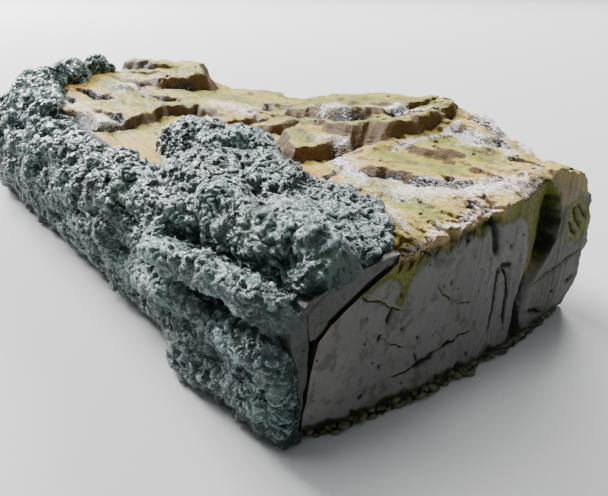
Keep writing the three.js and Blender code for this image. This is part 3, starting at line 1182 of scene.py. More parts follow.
@dataclass(frozen=True)
class WeatheredWood:
    """Tan wood with olive high places and brownish grain threads, brownish painted shade on its risers,
    darker painted shade in its hollows, crevices, pores and deep crack, and painted glare along the grain.
    """

    tan: Colour = (0.57, 0.375, 0.055)
    pale: Colour = (0.70, 0.56, 0.20)
    glint: Colour = (0.94, 0.90, 0.90)
    olive: Colour = (0.215, 0.225, 0.030)
    yellow: Colour = (0.43, 0.38, 0.034)
    brown_grain_and_shade: Colour = (0.084, 0.038, 0.011)
    orange: Colour = (0.56, 0.29, 0.038)
    rust: Colour = (0.120, 0.064, 0.020)
    recess_shade: Colour = (0.010, 0.014, 0.020)
    bark: Colour = (0.058, 0.050, 0.026)
    crack: Colour = (0.022, 0.022, 0.008)

    def make(self) -> bpy.types.Material:
        """Build the finish.

        Returns:
            The material.
        """
        r = Recipe("weathered_wood")
        along = r.stretched((0.14, 1.0, 1.0))
        broad = r.stretched((0.035, 0.07, 0.07))
        fine = r.stretched((1.0, 1.0, 1.0))
        streak = r.noise(along, 0.8, 4.0, 0.65)
        patch = r.noise(broad, 1.0, 4.0, 0.6)
        speck = r.noise(fine, 0.9, 3.0, 0.7)
        grit = r.noise(fine, 2.2, 2.0, 0.7)
        relief = r.value("relief")
        hollow = r.value("hollow")
        steep = r.value("steep")
        mottle = r.plus(r.swing(patch, 1.8), r.swing(speck, 0.8))

        # Tan grain, with orange, yellow and olive growth sprayed over it.
        colour = r.paint(self.tan, self.pale, r.between(streak, 0.5, 0.72, 0.0, 0.7))
        rosy = r.plus(r.value("orange"), mottle)
        colour = r.paint(colour, self.orange, r.between(rosy, 0.25, 0.8, 0.0, 0.85))
        spray = r.plus(r.value("olive"), mottle)
        colour = r.paint(colour, self.yellow, r.between(spray, 0.0, 0.45, 0.0, 0.9))
        colour = r.paint(colour, self.olive, r.between(spray, 0.45, 1.0, 0.0, 0.85))

        # Risers: steep faces painted brown with rust bands, as painted shade.
        riser = r.plus(steep, r.swing(speck, 0.35))
        riser = r.minus(riser, r.times(hollow, 0.05))
        bands = r.noise(r.stretched((0.12, 0.8, 0.8)), 1.0, 4.0, 0.7)
        riser_shade = r.paint(self.brown_grain_and_shade, self.rust, r.between(bands, 0.44, 0.66))
        colour = r.paint(colour, riser_shade, r.between(riser, 0.09, 0.27, 0.0, 0.95))

        # Painted shade: hollows, concave places and crevices darkened to brown and near black.
        deep = r.plus(hollow, r.times(relief, 0.8))
        deep = r.plus(deep, r.swing(speck, 1.2))
        colour = r.paint(colour, self.brown_grain_and_shade, r.between(deep, -0.45, -1.0, 0.0, 0.8))
        colour = r.paint(colour, self.recess_shade, r.between(deep, -0.9, -1.6))
        colour = r.paint(colour, self.recess_shade, r.between(relief, -0.28, -0.6, 0.0, 0.9))
        crevice = r.plus(r.value("crevice"), r.swing(speck, 1.4))
        colour = r.paint(colour, self.recess_shade, r.between(crevice, 0.35, 0.8))

        # Painted glints: pale painted highlights along the grain, most of them in the painted glare and
        # beside the crevices.
        flat = r.minus(1.0, r.times(steep, 1.4))
        lip = r.times(r.times(relief, 0.1), flat)
        spark = r.plus(r.noise(r.stretched((0.45, 1.4, 1.4)), 1.2, 4.0, 0.8), lip)
        spark = r.plus(spark, r.times(r.value("glare"), 0.16))
        spark = r.plus(spark, r.times(r.value("crevice"), 0.10))
        spark = r.minus(spark, r.times(steep, 0.12))
        colour = r.paint(colour, self.glint, r.between(spark, 0.60, 0.665))

        # Brown threads, the bark side, painted shade in the deep crack, by the sawn end's top corner and on
        # the hidden front side, and painted shade in the pores.
        thread = r.noise(r.stretched((0.4, 1.6, 1.6)), 0.9, 5.0, 0.8)
        colour = r.paint(colour, self.brown_grain_and_shade, r.between(thread, 0.42, 0.34, 0.0, 0.9))
        colour = r.paint(colour, self.bark, r.value("bark"))
        colour = r.paint(colour, self.crack, r.value("crack"))
        pores = r.pores(fine, 0.45, rim=0.22, core=0.14, rarity=0.7)
        colour = r.paint(colour, self.recess_shade, pores)

        height = r.plus(r.times(streak, 0.6), r.times(speck, 0.8))
        height = r.plus(height, r.times(grit, 0.35))
        height = r.minus(height, r.times(pores, 0.8))
        normal = r.bump(height, 1.3, 0.9)
        r.finish(colour, r.between(speck, 0.3, 0.7, 0.3, 0.55), normal, 0.05, 0.07, shine=0.10)
        return r.material


@dataclass(frozen=True)
class SawnEnd:
    """Dark grey sawn wood with curved saw marks, yellow-green edged checks, olive spray, and painted shade in
    its checks, grooves, deep crack and pores.
    """

    grey: Colour = (0.150, 0.145, 0.139)
    light: Colour = (0.250, 0.243, 0.233)
    stain: Colour = (0.076, 0.078, 0.064)
    dark_and_shade: Colour = (0.006, 0.010, 0.006)
    olive: Colour = (0.160, 0.160, 0.018)
    moss: Colour = (0.066, 0.076, 0.011)
    line: Colour = (0.26, 0.28, 0.05)
    rust: Colour = (0.42, 0.22, 0.09)
    splinter: Colour = (0.36, 0.26, 0.14)

    def make(self) -> bpy.types.Material:
        """Build the finish.

        Returns:
            The material.
        """
        r = Recipe("sawn_end")
        fine = r.stretched((1.0, 1.0, 1.0))
        speck = r.noise(fine, 1.2, 3.0, 0.7)
        grit = r.noise(fine, 2.6, 2.0, 0.7)
        cloud = r.noise(fine, 0.07, 4.0, 0.6)
        blotch = r.noise(fine, 0.22, 4.0, 0.65)
        stroke_places = r.tree.nodes.new("ShaderNodeCombineXYZ")
        r.put(stroke_places.inputs["X"], r.value("marks"))
        stroke = r.noise(stroke_places.outputs["Vector"], 1.7, 4.0, 0.75)
        strength = r.value("mark_strength")

        # Saw marks, clouds and freckles on the grey.
        high_mark = r.between(stroke, 0.42, 0.72, 0.0, 0.9)
        low_mark = r.between(stroke, 0.48, 0.3, 0.0, 0.8)
        colour = r.paint(self.grey, self.light, r.times(high_mark, strength))
        colour = r.paint(colour, self.stain, r.times(low_mark, strength))
        colour = r.paint(colour, self.light, r.between(cloud, 0.5, 0.75, 0.0, 0.4))
        colour = r.paint(colour, self.stain, r.between(blotch, 0.5, 0.36, 0.0, 0.7))
        freckle = r.times(r.between(cloud, 0.5, 0.6), r.between(speck, 0.66, 0.76, 0.0, 0.7))
        colour = r.paint(colour, self.line, freckle)
        colour = r.paint(colour, self.stain, r.times(r.value("slab"), r.between(blotch, 0.3, 0.6, 0.2, 0.9)))

        # Olive spray, torn splinters and rust along the bark.
        mottle = r.plus(r.value("spray"), r.swing(blotch, 1.3))
        colour = r.paint(colour, self.moss, r.between(mottle, 0.3, 0.6, 0.0, 0.9))
        colour = r.paint(colour, self.olive, r.between(mottle, 0.55, 1.1, 0.0, 0.9))
        fleck = r.times(r.value("spray"), r.between(speck, 0.47, 0.60, 0.0, 0.85))
        colour = r.paint(colour, self.moss, fleck)
        colour = r.paint(colour, self.splinter, r.times(r.value("splinter"), r.between(speck, 0.32, 0.52)))
        colour = r.paint(colour, self.rust, r.times(r.value("rust"), r.between(speck, 0.3, 0.5)))

        # Checks with a yellow-green edge; painted shade in the checks, grooves, deep crack and pores; the
        # crumbly foot.
        gap = r.plus(r.value("check"), r.swing(speck, 1.1))
        edge = r.size(r.minus(gap, 0.45))
        broken = r.between(blotch, 0.42, 0.54)
        colour = r.paint(colour, self.line, r.times(r.between(edge, 0.4, 0.1, 0.0, 0.6), broken))
        checks = r.times(r.between(r.size(gap), 0.4, 0.15), r.between(blotch, 0.4, 0.5))
        colour = r.paint(colour, self.dark_and_shade, checks)
        groove = r.plus(r.value("groove"), r.swing(speck, 0.5))
        colour = r.paint(colour, self.dark_and_shade, r.between(groove, 0.2, 0.6, 0.0, 0.93))
        pores = r.pores(fine, 0.3, rim=0.15, core=0.09, rarity=0.6)
        colour = r.paint(colour, self.dark_and_shade, pores)
        crumbs = r.noise(fine, 0.4, 3.0, 0.7)
        crumb = r.paint(self.dark_and_shade, self.moss, r.between(crumbs, 0.5, 0.62))
        colour = r.paint(colour, crumb, r.value("foot"))

        height = r.times(r.times(stroke, strength), 1.3)
        height = r.plus(height, r.times(speck, 0.5))
        height = r.plus(height, r.times(grit, 0.35))
        height = r.minus(height, checks)
        height = r.minus(height, pores)
        normal = r.bump(height, 0.7, 0.8)
        r.finish(colour, r.between(speck, 0.3, 0.7, 0.42, 0.62), normal, 0.06, 0.2, shine=0.15)
        return r.material


@dataclass(frozen=True)
class BarkFinish:
    """Cut or crumbly bark, deep in tone, mottled with green, olive or blackish specks, with painted shade
    darkening its hollows.
    """

    name: str
    base: Colour
    tint: Colour
    grain: float
    coat: float
    dark_and_shade: Colour = (0.006, 0.010, 0.008)

    def make(self) -> bpy.types.Material:
        """Build the finish.

        Returns:
            The material.
        """
        r = Recipe(self.name)
        fine = r.stretched((1.0, 1.0, 1.0))
        speck = r.noise(fine, self.grain, 4.0, 0.65)
        cloud = r.noise(fine, 0.12, 3.0, 0.6)
        relief = r.value("relief")
        high = r.plus(relief, r.minus(cloud, 0.5))
        colour = r.paint(self.base, self.tint, r.between(high, -0.15, 0.35))
        colour = r.paint(colour, self.dark_and_shade, r.between(speck, 0.5, 0.32, 0.0, 0.8))
        # Painted shade in the hollows of the bark.
        colour = r.paint(colour, self.dark_and_shade, r.between(relief, -0.2, -0.9))
        normal = r.bump(speck, 0.9, 0.8)
        r.finish(colour, 0.34, normal, self.coat, 0.12)
        return r.material


CUT_BARK = BarkFinish("cut_bark", (0.060, 0.058, 0.054), (0.034, 0.044, 0.022), grain=0.8, coat=0.1)
ROUGH_BARK = BarkFinish("rough_bark", (0.034, 0.036, 0.033), (0.014, 0.032, 0.020), grain=0.6, coat=0.15)
BASE_CRUMB = BarkFinish("base_crumb", (0.007, 0.011, 0.006), (0.090, 0.092, 0.034), grain=0.45, coat=0.2)


@dataclass(frozen=True)
class MossFinish:
    """Dark blue-green moss with mint tips and a wet gloss; painted shade makes its low places, pits and
    hollows blackish and darkens it towards the floor.
    """

    shade_black: Colour = (0.0015, 0.003, 0.004)
    deep: Colour = (0.005, 0.016, 0.009)
    mid: Colour = (0.022, 0.056, 0.036)
    mint: Colour = (0.23, 0.37, 0.37)
    green: Colour = (0.016, 0.052, 0.019)
    gloss: Colour = (0.72, 0.93, 1.0)
    bump_mm: float = 1.1

    def make(self) -> bpy.types.Material:
        """Build the finish.

        Returns:
            The material.
        """
        r = Recipe("moss_crust")
        fine = r.stretched((1.0, 1.0, 1.0))
        curl = r.noise(fine, 0.8, 3.0, 0.7, 1.8)
        speck = r.noise(fine, 2.3, 3.0, 0.8)
        cloud = r.noise(fine, 0.06, 3.0, 0.6)
        relief = r.value("relief")
        high = r.plus(relief, r.swing(curl, 1.1))
        high = r.plus(high, r.value("tone"))
        hollow = r.value("hollow")
        # Painted shade: the lower the crust lies, the darker it is, down to near black.
        colour = r.paint(self.shade_black, self.deep, r.between(high, -0.3, 0.05))
        colour = r.paint(colour, self.mid, r.between(high, 0.0, 0.4))
        colour = r.paint(colour, self.green, r.between(cloud, 0.45, 0.58, 0.0, 0.8))
        pale = r.plus(high, r.swing(speck, 1.8))
        colour = r.paint(colour, self.mint, r.between(pale, 0.18, 0.65))
        # Painted shade: near black in the hollows and pits and towards the foot of the mat.
        colour = r.paint(colour, self.shade_black, r.between(hollow, -0.1, -1.0, 0.0, 0.96))
        height = r.plus(r.times(curl, 0.7), r.times(speck, 1.1))
        normal = r.bump(height, self.bump_mm, 0.9)
        rough = r.between(speck, 0.3, 0.7, 0.08, 0.19)
        r.finish(colour, rough, normal, 0.55, 0.04, shine=1.0, tint=self.gloss)
        return r.material


# ------------------------------------------------------------
# The pieces
# ------------------------------------------------------------

# Marks on the sawn end, as lines and outlines of (y, z).
CHECKS = [
    [(-43, 41.5), (-42, 39.5), (-40, 38), (-37, 37), (-34, 35.5), (-32, 33.5), (-28.5, 32)],
    [(-20, 47), (-17, 45), (-14, 43), (-11, 41.5)],
    [(-13, 34), (-11, 31.5), (-8, 28.5), (-4, 26), (2, 24)],
    [(-34, 24), (-31, 21.5), (-27, 19.5)],
    [(-30, 10.5), (-25, 10), (-18, 10.3), (-13, 11.5), (-8, 12.3), (-3, 13), (3, 13.5)],
    [(28, 22), (31, 19.5)],
    [(37, 19), (42, 20.5), (50, 21.5), (57, 23.5), (66, 24.5)],
    [(49, 43), (48.5, 38), (47, 33)],
    [(36, 8.5), (41, 7), (46, 5)],
    [(16, 33), (19.5, 28), (21, 23)],
]
END_GROOVES = [
    Groove([(9.5, 51), (11, 46), (12.4, 41), (13.5, 36)], 1.6, 1.9),
    Groove([(15, 34), (14.8, 26), (14.5, 18), (13.5, 8)], 0.7, 0.9),
    Groove([(16, 33), (19.5, 28), (21, 22), (21, 8)], 0.7, 0.8),
    Groove([(17, 32), (22, 31)], 1.0, 1.2),
    Groove([(-30.5, 33), (-32, 31), (-33.2, 28.5)], 0.9, 1.5),
    Groove([(-35.2, 26.5), (-36, 24)], 0.6, 0.9),
    Groove([(-22, 10), (-17, 10.5), (-12, 11.2)], 1.0, 1.5),
    Groove([(-9, 12.2), (-5, 12.8)], 0.7, 1.0),
    Groove([(-21, 15), (-20, 11)], 0.5, 0.8),
    Groove([(-43, 8), (-41, 8.9)], 0.6, 0.9),
    Groove([(35.5, 25), (32, 20.5), (29.6, 15), (29.4, 8), (28, 1)], 2.3, 4.0),
    Groove([(36, 9), (40, 7.5), (45, 5.5)], 0.8, 1.2),
    Groove([(58, 14), (61, 13), (63, 15)], 0.9, 1.2),
    Groove([(49, 12), (51, 11.6)], 0.6, 0.9),
    Groove([(54, 43), (58, 38), (63, 33)], 0.8, 1.2),
    Groove([(57, 44), (61, 40), (65, 37)], 0.7, 1.0),
    Groove([(53, 39), (56, 35), (60, 31)], 0.8, 1.1),
]
END_PITS = [
    (-20, 19.5), (-35, 15.5), (20, 38), (-2, 48), (-45, 5), (-28, 36), (-7, 33.5), (56, 42), (2, 6),
    (-27, 25),
]
OLIVE_SPRAY = [
    [(-31, 52), (-24, 51), (-18, 49), (-22, 44), (-25, 39), (-28, 35), (-29, 42), (-34, 47)],
    [(12, 56), (22, 50), (28, 45), (31, 38), (31, 28), (29, 21), (33, 20), (38, 26), (40, 34), (38, 46),
     (34, 62), (20, 62)],
    [(34, 62), (38, 58), (43, 52), (46, 46), (46.5, 40), (44, 33), (40, 27), (34, 34)],
    [(48, 62), (52, 51), (57, 48), (64, 47), (71, 48), (66, 66)],
    [(52, 44), (58, 45), (65, 42), (67, 33), (61, 29), (52, 32)],
]
# Outlines on the sawn end, as (y, z), of painted shade in the deep crack and the lower groove.
CRACK_SHADE = [(41, 50), (44, 48), (46.5, 44), (47, 38), (43, 30), (38, 27), (40, 34), (42, 42)]
LOWER_GROOVE_SHADE = [(28, 19), (31, 16), (32, 9), (31, 1), (23, 1), (26, 9), (26.5, 16)]
SLAB_BAND = [(36, 64), (42, 53), (47, 47), (51, 45), (57, 46.5), (64, 46), (70, 50), (60, 66)]


@dataclass
class WoodBody:
    """The split log: terraced top, sawn end with its deep crack, and a bark-rough back."""

    cells: tuple[int, int, int] = (540, 264, 72)
    closer_to_end: float = 0.35
    cuts_at: tuple[float, float] = (-28.0, 88.0)
    hidden_tuck: float = 4.0
    foot: float = 0.9
    marks_fade_in: tuple[float, float] = (-18.0, 0.0)
    pit_radius: float = 0.8
    check_reach: float = 9.0
    form: LogForm = FORM

    def shape(self, piece: bpy.types.Object) -> Array:
        """Bend the unit block into the log.

        Args:
            piece: the divided unit block.

        Returns:
            The unit places, which say which side a vertex belongs to.
        """
        unit = get_places(piece)
        along, across, up = unit.T
        along = along + self.closer_to_end * along * (1.0 - along)
        form = self.form
        x = mix(form.wood_far_x, form.sawn_x, along)
        brim = form.side_height(x)
        ceiling = form.wood_top(x, mix(form.front(WOOD_SIDE, x, brim), form.back(x, brim), across))
        z = mix(self.foot, ceiling, up)
        level = mix(self.foot, brim, up)
        tuck = self.hidden_tuck * form.covered(x) * (1.0 - ramp(level, 50.0, 54.0))
        y = mix(form.front(WOOD_SIDE, x, level) + tuck * (1.0 - up), form.back(x, level), across)
        inward = form.near_end(x)
        end = (form.sawn_face(y, z) - form.sawn_x) * inward
        end -= (self.end_relief(y, z) + form.crack_hollow(y, z) + self.edge_break(y, ceiling - z)) * inward
        spots = rows(x + end, y, z)
        roughness = ramp(across, 0.985, 1.0)
        noise = form.noise
        near, second, _ = noise.cells(noise.bend(spots, 9.0, 2.5), (13.0, 8.0, 6.0))
        bark = 2.2 * (0.45 - near) + 2.0 * np.clip(second - near, 0.0, 0.35)
        bark += 1.1 * noise.layered(spots, (14, 7, 6), 3) + 0.35 * noise.ridged(spots, (4.0, 2.4, 2.0))
        spots[:, 1] += roughness * bark * ramp(z, 3.0, 8.0)
        set_places(piece, spots * MM)
        return unit

    def edge_break(self, y: Array, below: Array) -> Array:
        """Splinters broken off the sawn end just below its top edge.

        Args:
            y: place across the log.
            below: distance under the top edge.

        Returns:
            How far they go in.
        """
        span = ramp(y, -32.0, -27.0) * (1.0 - ramp(y, 8.0, 14.0))
        _, _, owner = self.form.noise.cells(rows(below * 0.6, y, 3.0), (9.0, 3.6, 9.0))
        return span * (1.0 - ramp(below, 2.5, 5.0)) * (0.3 + 3.0 * owner)

    def end_relief(self, y: Array, z: Array) -> Array:
        """Saw marks, checks, long grooves and pits of the sawn end.

        Args:
            y: place across the log.
            z: height.

        Returns:
            How far they go in.
        """
        noise = self.form.noise
        flat = rows(y, z)
        bent = noise.bend(flat, 3.0, 0.5)[:, :2]
        depth = 0.3 * noise.layered(flat, (16, 16, 9), 3)
        marks = self.saw_marks(y, z)
        depth += 0.3 * (0.3 + ramp(y, *self.marks_fade_in)) * noise.smooth(rows(marks, 0.0), 2.4)
        torn = np.exp(-(((y + 4.0) / 13.0) ** 2) - (((z - 5.0) / 5.5) ** 2))
        slant = 0.8 * z - 0.6 * y
        depth += 0.8 * torn * noise.smooth(rows(slant, 0.2 * marks), 2.2)
        for line in CHECKS:
            gap, share = line_distance(line, bent)
            depth += 0.55 * end_fade(share, 6.0) * bell(gap, 0.7)
        for groove in END_GROOVES:
            gap, share = line_distance(groove.line, bent)
            depth += groove.depth * end_fade(share, 5.0, 0.02) * bell(gap, groove.width)
        for pit in END_PITS:
            depth += 0.9 * bell(spot_distance(pit, flat), self.pit_radius)
        return depth

    def saw_marks(self, y: Array, z: Array) -> Array:
        """Number that is the same all along one stroke of the saw."""
        fan = 1.0 - ramp(y, 4.0, 18.0)
        drop = 50.0 - z
        return y + fan * (0.12 * drop + 0.0022 * drop**2) + (1.0 - fan) * 0.03 * drop

    def end_values(self, piece: bpy.types.Object, places: Array) -> None:
        """Store what the sawn end's finish reads.

        Args:
            piece: the whole log.
            places: its vertex places in millimetres.
        """
        _, y, z = places.T
        form = self.form
        noise = form.noise
        flat = rows(y, z)
        bent = noise.bend(flat, 3.0, 0.5)[:, :2]
        ragged = noise.bend(noise.bend(flat, 6.0, 2.0), 2.0, 0.8)
        signed = np.full(len(y), self.check_reach)
        for line in CHECKS:
            side = side_distance(line, bent)
            signed = np.where(np.abs(side) < np.abs(signed), side, signed)
        groove = np.zeros(len(y))
        for mark in END_GROOVES:
            gap, share = line_distance(mark.line, bent)
            groove = np.maximum(groove, end_fade(share, 5.0, 0.05) * bell(gap, mark.width))
        for pit in END_PITS:
            groove = np.maximum(groove, bell(spot_distance(pit, flat), self.pit_radius))
        # Painted shade in the deep crack and the lower groove, carried in the groove value.
        dark_and_shade = np.zeros(len(y))
        for outline, soft in ((CRACK_SHADE, 3.5), (LOWER_GROOVE_SHADE, 1.2)):
            dark_and_shade = np.maximum(dark_and_shade, inside(outline, ragged, -soft, soft))
        below_top = form.plain_top(np.full(len(y), 148.0), y) - z
        blur = 2.5 * noise.layered(places + 5.0, 7.0, 3)
        spray = 1.0 - ramp(below_top + blur, 2.5, 9.5)
        for outline in OLIVE_SPRAY:
            spray = np.maximum(spray, inside(outline, ragged, -3.0, 1.5))
        band = inside(SLAB_BAND, ragged, -1.2, 1.2)
        chips = (1.0 - ramp(below_top, 1.5, 4.5)) * ramp(y, -32.0, -27.0) * (1.0 - ramp(y, 8.0, 20.0))
        foot_chips = bell(np.hypot(y - 35.5, z - 26.0), 2.6)
        deep_foot = read_line([(-66, 5.4), (-40, 4.8), (-10, 3.6), (30, 3.0), (70, 2.4)], y)
        seam = y - form.front(WOOD_SIDE, np.full(len(y), form.sawn_x), z) - 1.0
        values = {
            "check": signed,
            "groove": np.maximum(groove * 0.8, dark_and_shade),
            "marks": self.saw_marks(y, z),
            "mark_strength": 0.45 + 0.55 * ramp(y, *self.marks_fade_in),
            "spray": spray,
            "splinter": np.maximum(np.maximum(0.55 * band, chips), foot_chips),
            "slab": ramp(y, 33.0, 42.0),
            "foot": 1.0 - ramp(z + 0.8 * blur, deep_foot - 0.8, deep_foot + 0.8),
            "rust": bell(seam, 1.3) * ramp(z, 31.0, 36.0),
        }
        for name, numbers in values.items():
            set_values(piece, name, numbers)

    def top_values(self, piece: bpy.types.Object, unit: Array, places: Array) -> None:
        """Store what the finish of the weathered wood reads.

        Args:
            piece: the whole log.
            unit: its places in the unit block, which say which side a vertex belongs to.
            places: its vertex places in millimetres.
        """
        x, y, z = places.T
        noise = self.form.noise
        # The relief, hollow and steep values steer where the wood finish paints shade on recesses and risers.
        set_values(piece, "relief", relief_of(piece, 10) / MM)
        set_values(piece, "hollow", relief_of(piece, 90) / MM)
        set_values(piece, "steep", 1.0 - even_out(piece, np.clip(get_normals(piece)[:, 2], 0.0, 1.0), 2))
        set_values(piece, "bark", ramp(unit[:, 1], 0.97, 1.0) * (1.0 - ramp(z, 40.0, 50.0)))
        spots = noise.bend(rows(x, y), 9.0, 3.0)[:, :2]
        # The olive and orange values are stains; the glare value marks where the finish paints highlights.
        for name, stains in (("olive", OLIVE_STAINS), ("orange", ORANGE_STAINS), ("glare", GLARES)):
            share = np.zeros(len(x))
            for stain in stains:
                share = np.maximum(share, bell(line_distance(stain.line, spots)[0], stain.width))
            set_values(piece, name, share)
        crevice = np.zeros(len(x))
        for groove in TOP_GROOVES:
            gap, share = line_distance(groove.line, spots)
            crevice = np.maximum(crevice, end_fade(share, 4.0, 0.15) * bell(gap, 1.5 * groove.width))
        set_values(piece, "crevice", crevice)
        # The crack value is painted shade: the deep crack's hollow, the top's corner by the sawn end beside
        # the moss (dusk), and the front side hidden under the bark.
        sunk = self.form.plain_top(x, y) - z
        crack = ramp(sunk, 0.5, 3.5) * ramp(x, 136.0, 143.0)
        crack *= ramp(y, 18.0, 24.0) * (1.0 - ramp(y, 46.0, 47.0))
        spread = noise.layered(places, 5.0, 3)
        dusk = ramp(x + 4.0 * spread, 142.0, 147.0) * (1.0 - ramp(y + 3.0 * spread, -19.0, -13.0))
        bark_side = 1.0 - ramp(unit[:, 1], 0.0, 0.012)
        set_values(piece, "crack", np.maximum(np.maximum(crack, 0.9 * dusk), bark_side))

    def build(self) -> list[bpy.types.Object]:
        """Build and dress the wood, and cut it into lengths.

        Returns:
            The lengths, from the far end to the sawn end.
        """
        piece = new_piece("whole_log", unit_block(self.cells, open_base=True))
        unit = self.shape(piece)
        places = get_places(piece) / MM
        self.top_values(piece, unit, places)
        self.end_values(piece, places)
        piece.data.materials.append(WeatheredWood().make())
        piece.data.materials.append(SawnEnd().make())
        at_end = face_limits(piece, unit[:, 0])[0] > 0.9999
        piece.data.polygons.foreach_set("material_index", at_end.astype(np.int32))
        smooth_faces(piece, 70.0)
        names = ["log_far_length", "log_middle_length", "log_near_length"]
        lengths = cut_lengths(piece, names, list(self.cuts_at))
        for length in lengths:
            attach(length, "root")
            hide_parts("wood")
        return lengths


@dataclass
class BarkLayers:
    """Inner strip and outer layer of bark, seen on the sawn end."""

    seam: float = 0.8
    inner_foot: float = 33.0
    far_x: float = -132.0
    brim: float = 48.0
    highest: float = 50.0
    hidden_tuck: float = 6.0
    form: LogForm = FORM

    def layer(self, name: str, foot: float, front: Callable[[Array, Array], Array],
              back: Callable[[Array, Array], Array], finish: BarkFinish) -> bpy.types.Object:
        """One layer between two sides.

        Args:
            name: name of the piece.
            foot: height of its lower edge.
            front: gives its outer side from place along the log and height.
            back: gives its inner side likewise.
            finish: its finish.

        Returns:
            The piece.
        """
        piece = new_piece(name, unit_block((120, 12, 56)))
        unit = get_places(piece)
        along, across, up = unit.T
        along = 1.0 - (1.0 - along) ** 2.2
        form = self.form
        x = mix(self.far_x, form.sawn_x, along)
        brim = np.full(len(x), self.brim)
        outside = front(x, brim)
        ceiling = np.minimum(form.plain_top(x, outside), self.highest) + form.bevel_lip(x, outside)
        ceiling = np.minimum(ceiling, form.moss_line(mix(outside, back(x, brim), across)) - 0.3)
        z = mix(foot, ceiling, up)
        y = mix(front(x, z), back(x, z), across)
        y = y + self.hidden_tuck * form.covered(x)
        spots = rows(x, y, z)
        rough = form.noise.layered(spots, 5.0, 3)
        inward = form.near_end(x)
        spots[:, 0] += (form.sawn_face(y, z) - form.sawn_x) * inward + 0.5 * rough * inward
        spots[:, 1] += 0.35 * rough
        spots[:, 2] += 0.5 * rough * ramp(z, foot, foot + 6.0)
        set_places(piece, spots * MM)
        set_values(piece, "relief", relief_of(piece, 6) / MM)
        piece.data.materials.append(finish.make())
        smooth_faces(piece, 50.0)
        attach(piece, "root")
        return piece

    def inner_side(self, x: Array, z: Array) -> Array:
        """Outer side of the inner strip."""
        return self.form.front(INNER_SIDE, x, z)

    def inner_back(self, x: Array, z: Array) -> Array:
        """Inner side of the inner strip, a seam away from the wood."""
        return self.form.front(WOOD_SIDE, x, z) - self.seam * (0.7 + 0.8 * ramp(z, 41.0, 46.0))

    def outer_side(self, x: Array, z: Array) -> Array:
        """Outer side of the outer layer."""
        return self.form.front(OUTER_SIDE, x, z)

    def outer_back(self, x: Array, z: Array) -> Array:
        """Inner side of the outer layer, a seam away from the strip and the wood."""
        strip = self.inner_side(x, np.maximum(z, self.inner_foot))
        return np.minimum(strip - 0.4, self.form.front(WOOD_SIDE, x, z) - 0.9)

    def build(self) -> list[bpy.types.Object]:
        """Build both layers.

        Returns:
            The inner strip and the outer layer.
        """
        inner = self.layer("inner_bark_strip", self.inner_foot, self.inner_side, self.inner_back, CUT_BARK)
        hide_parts("inner_bark")
        outer_foot = self.form.base_height + 0.3
        outer = self.layer("outer_bark_layer", outer_foot, self.outer_side, self.outer_back, ROUGH_BARK)
        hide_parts("outer_bark")
        return [inner, outer]


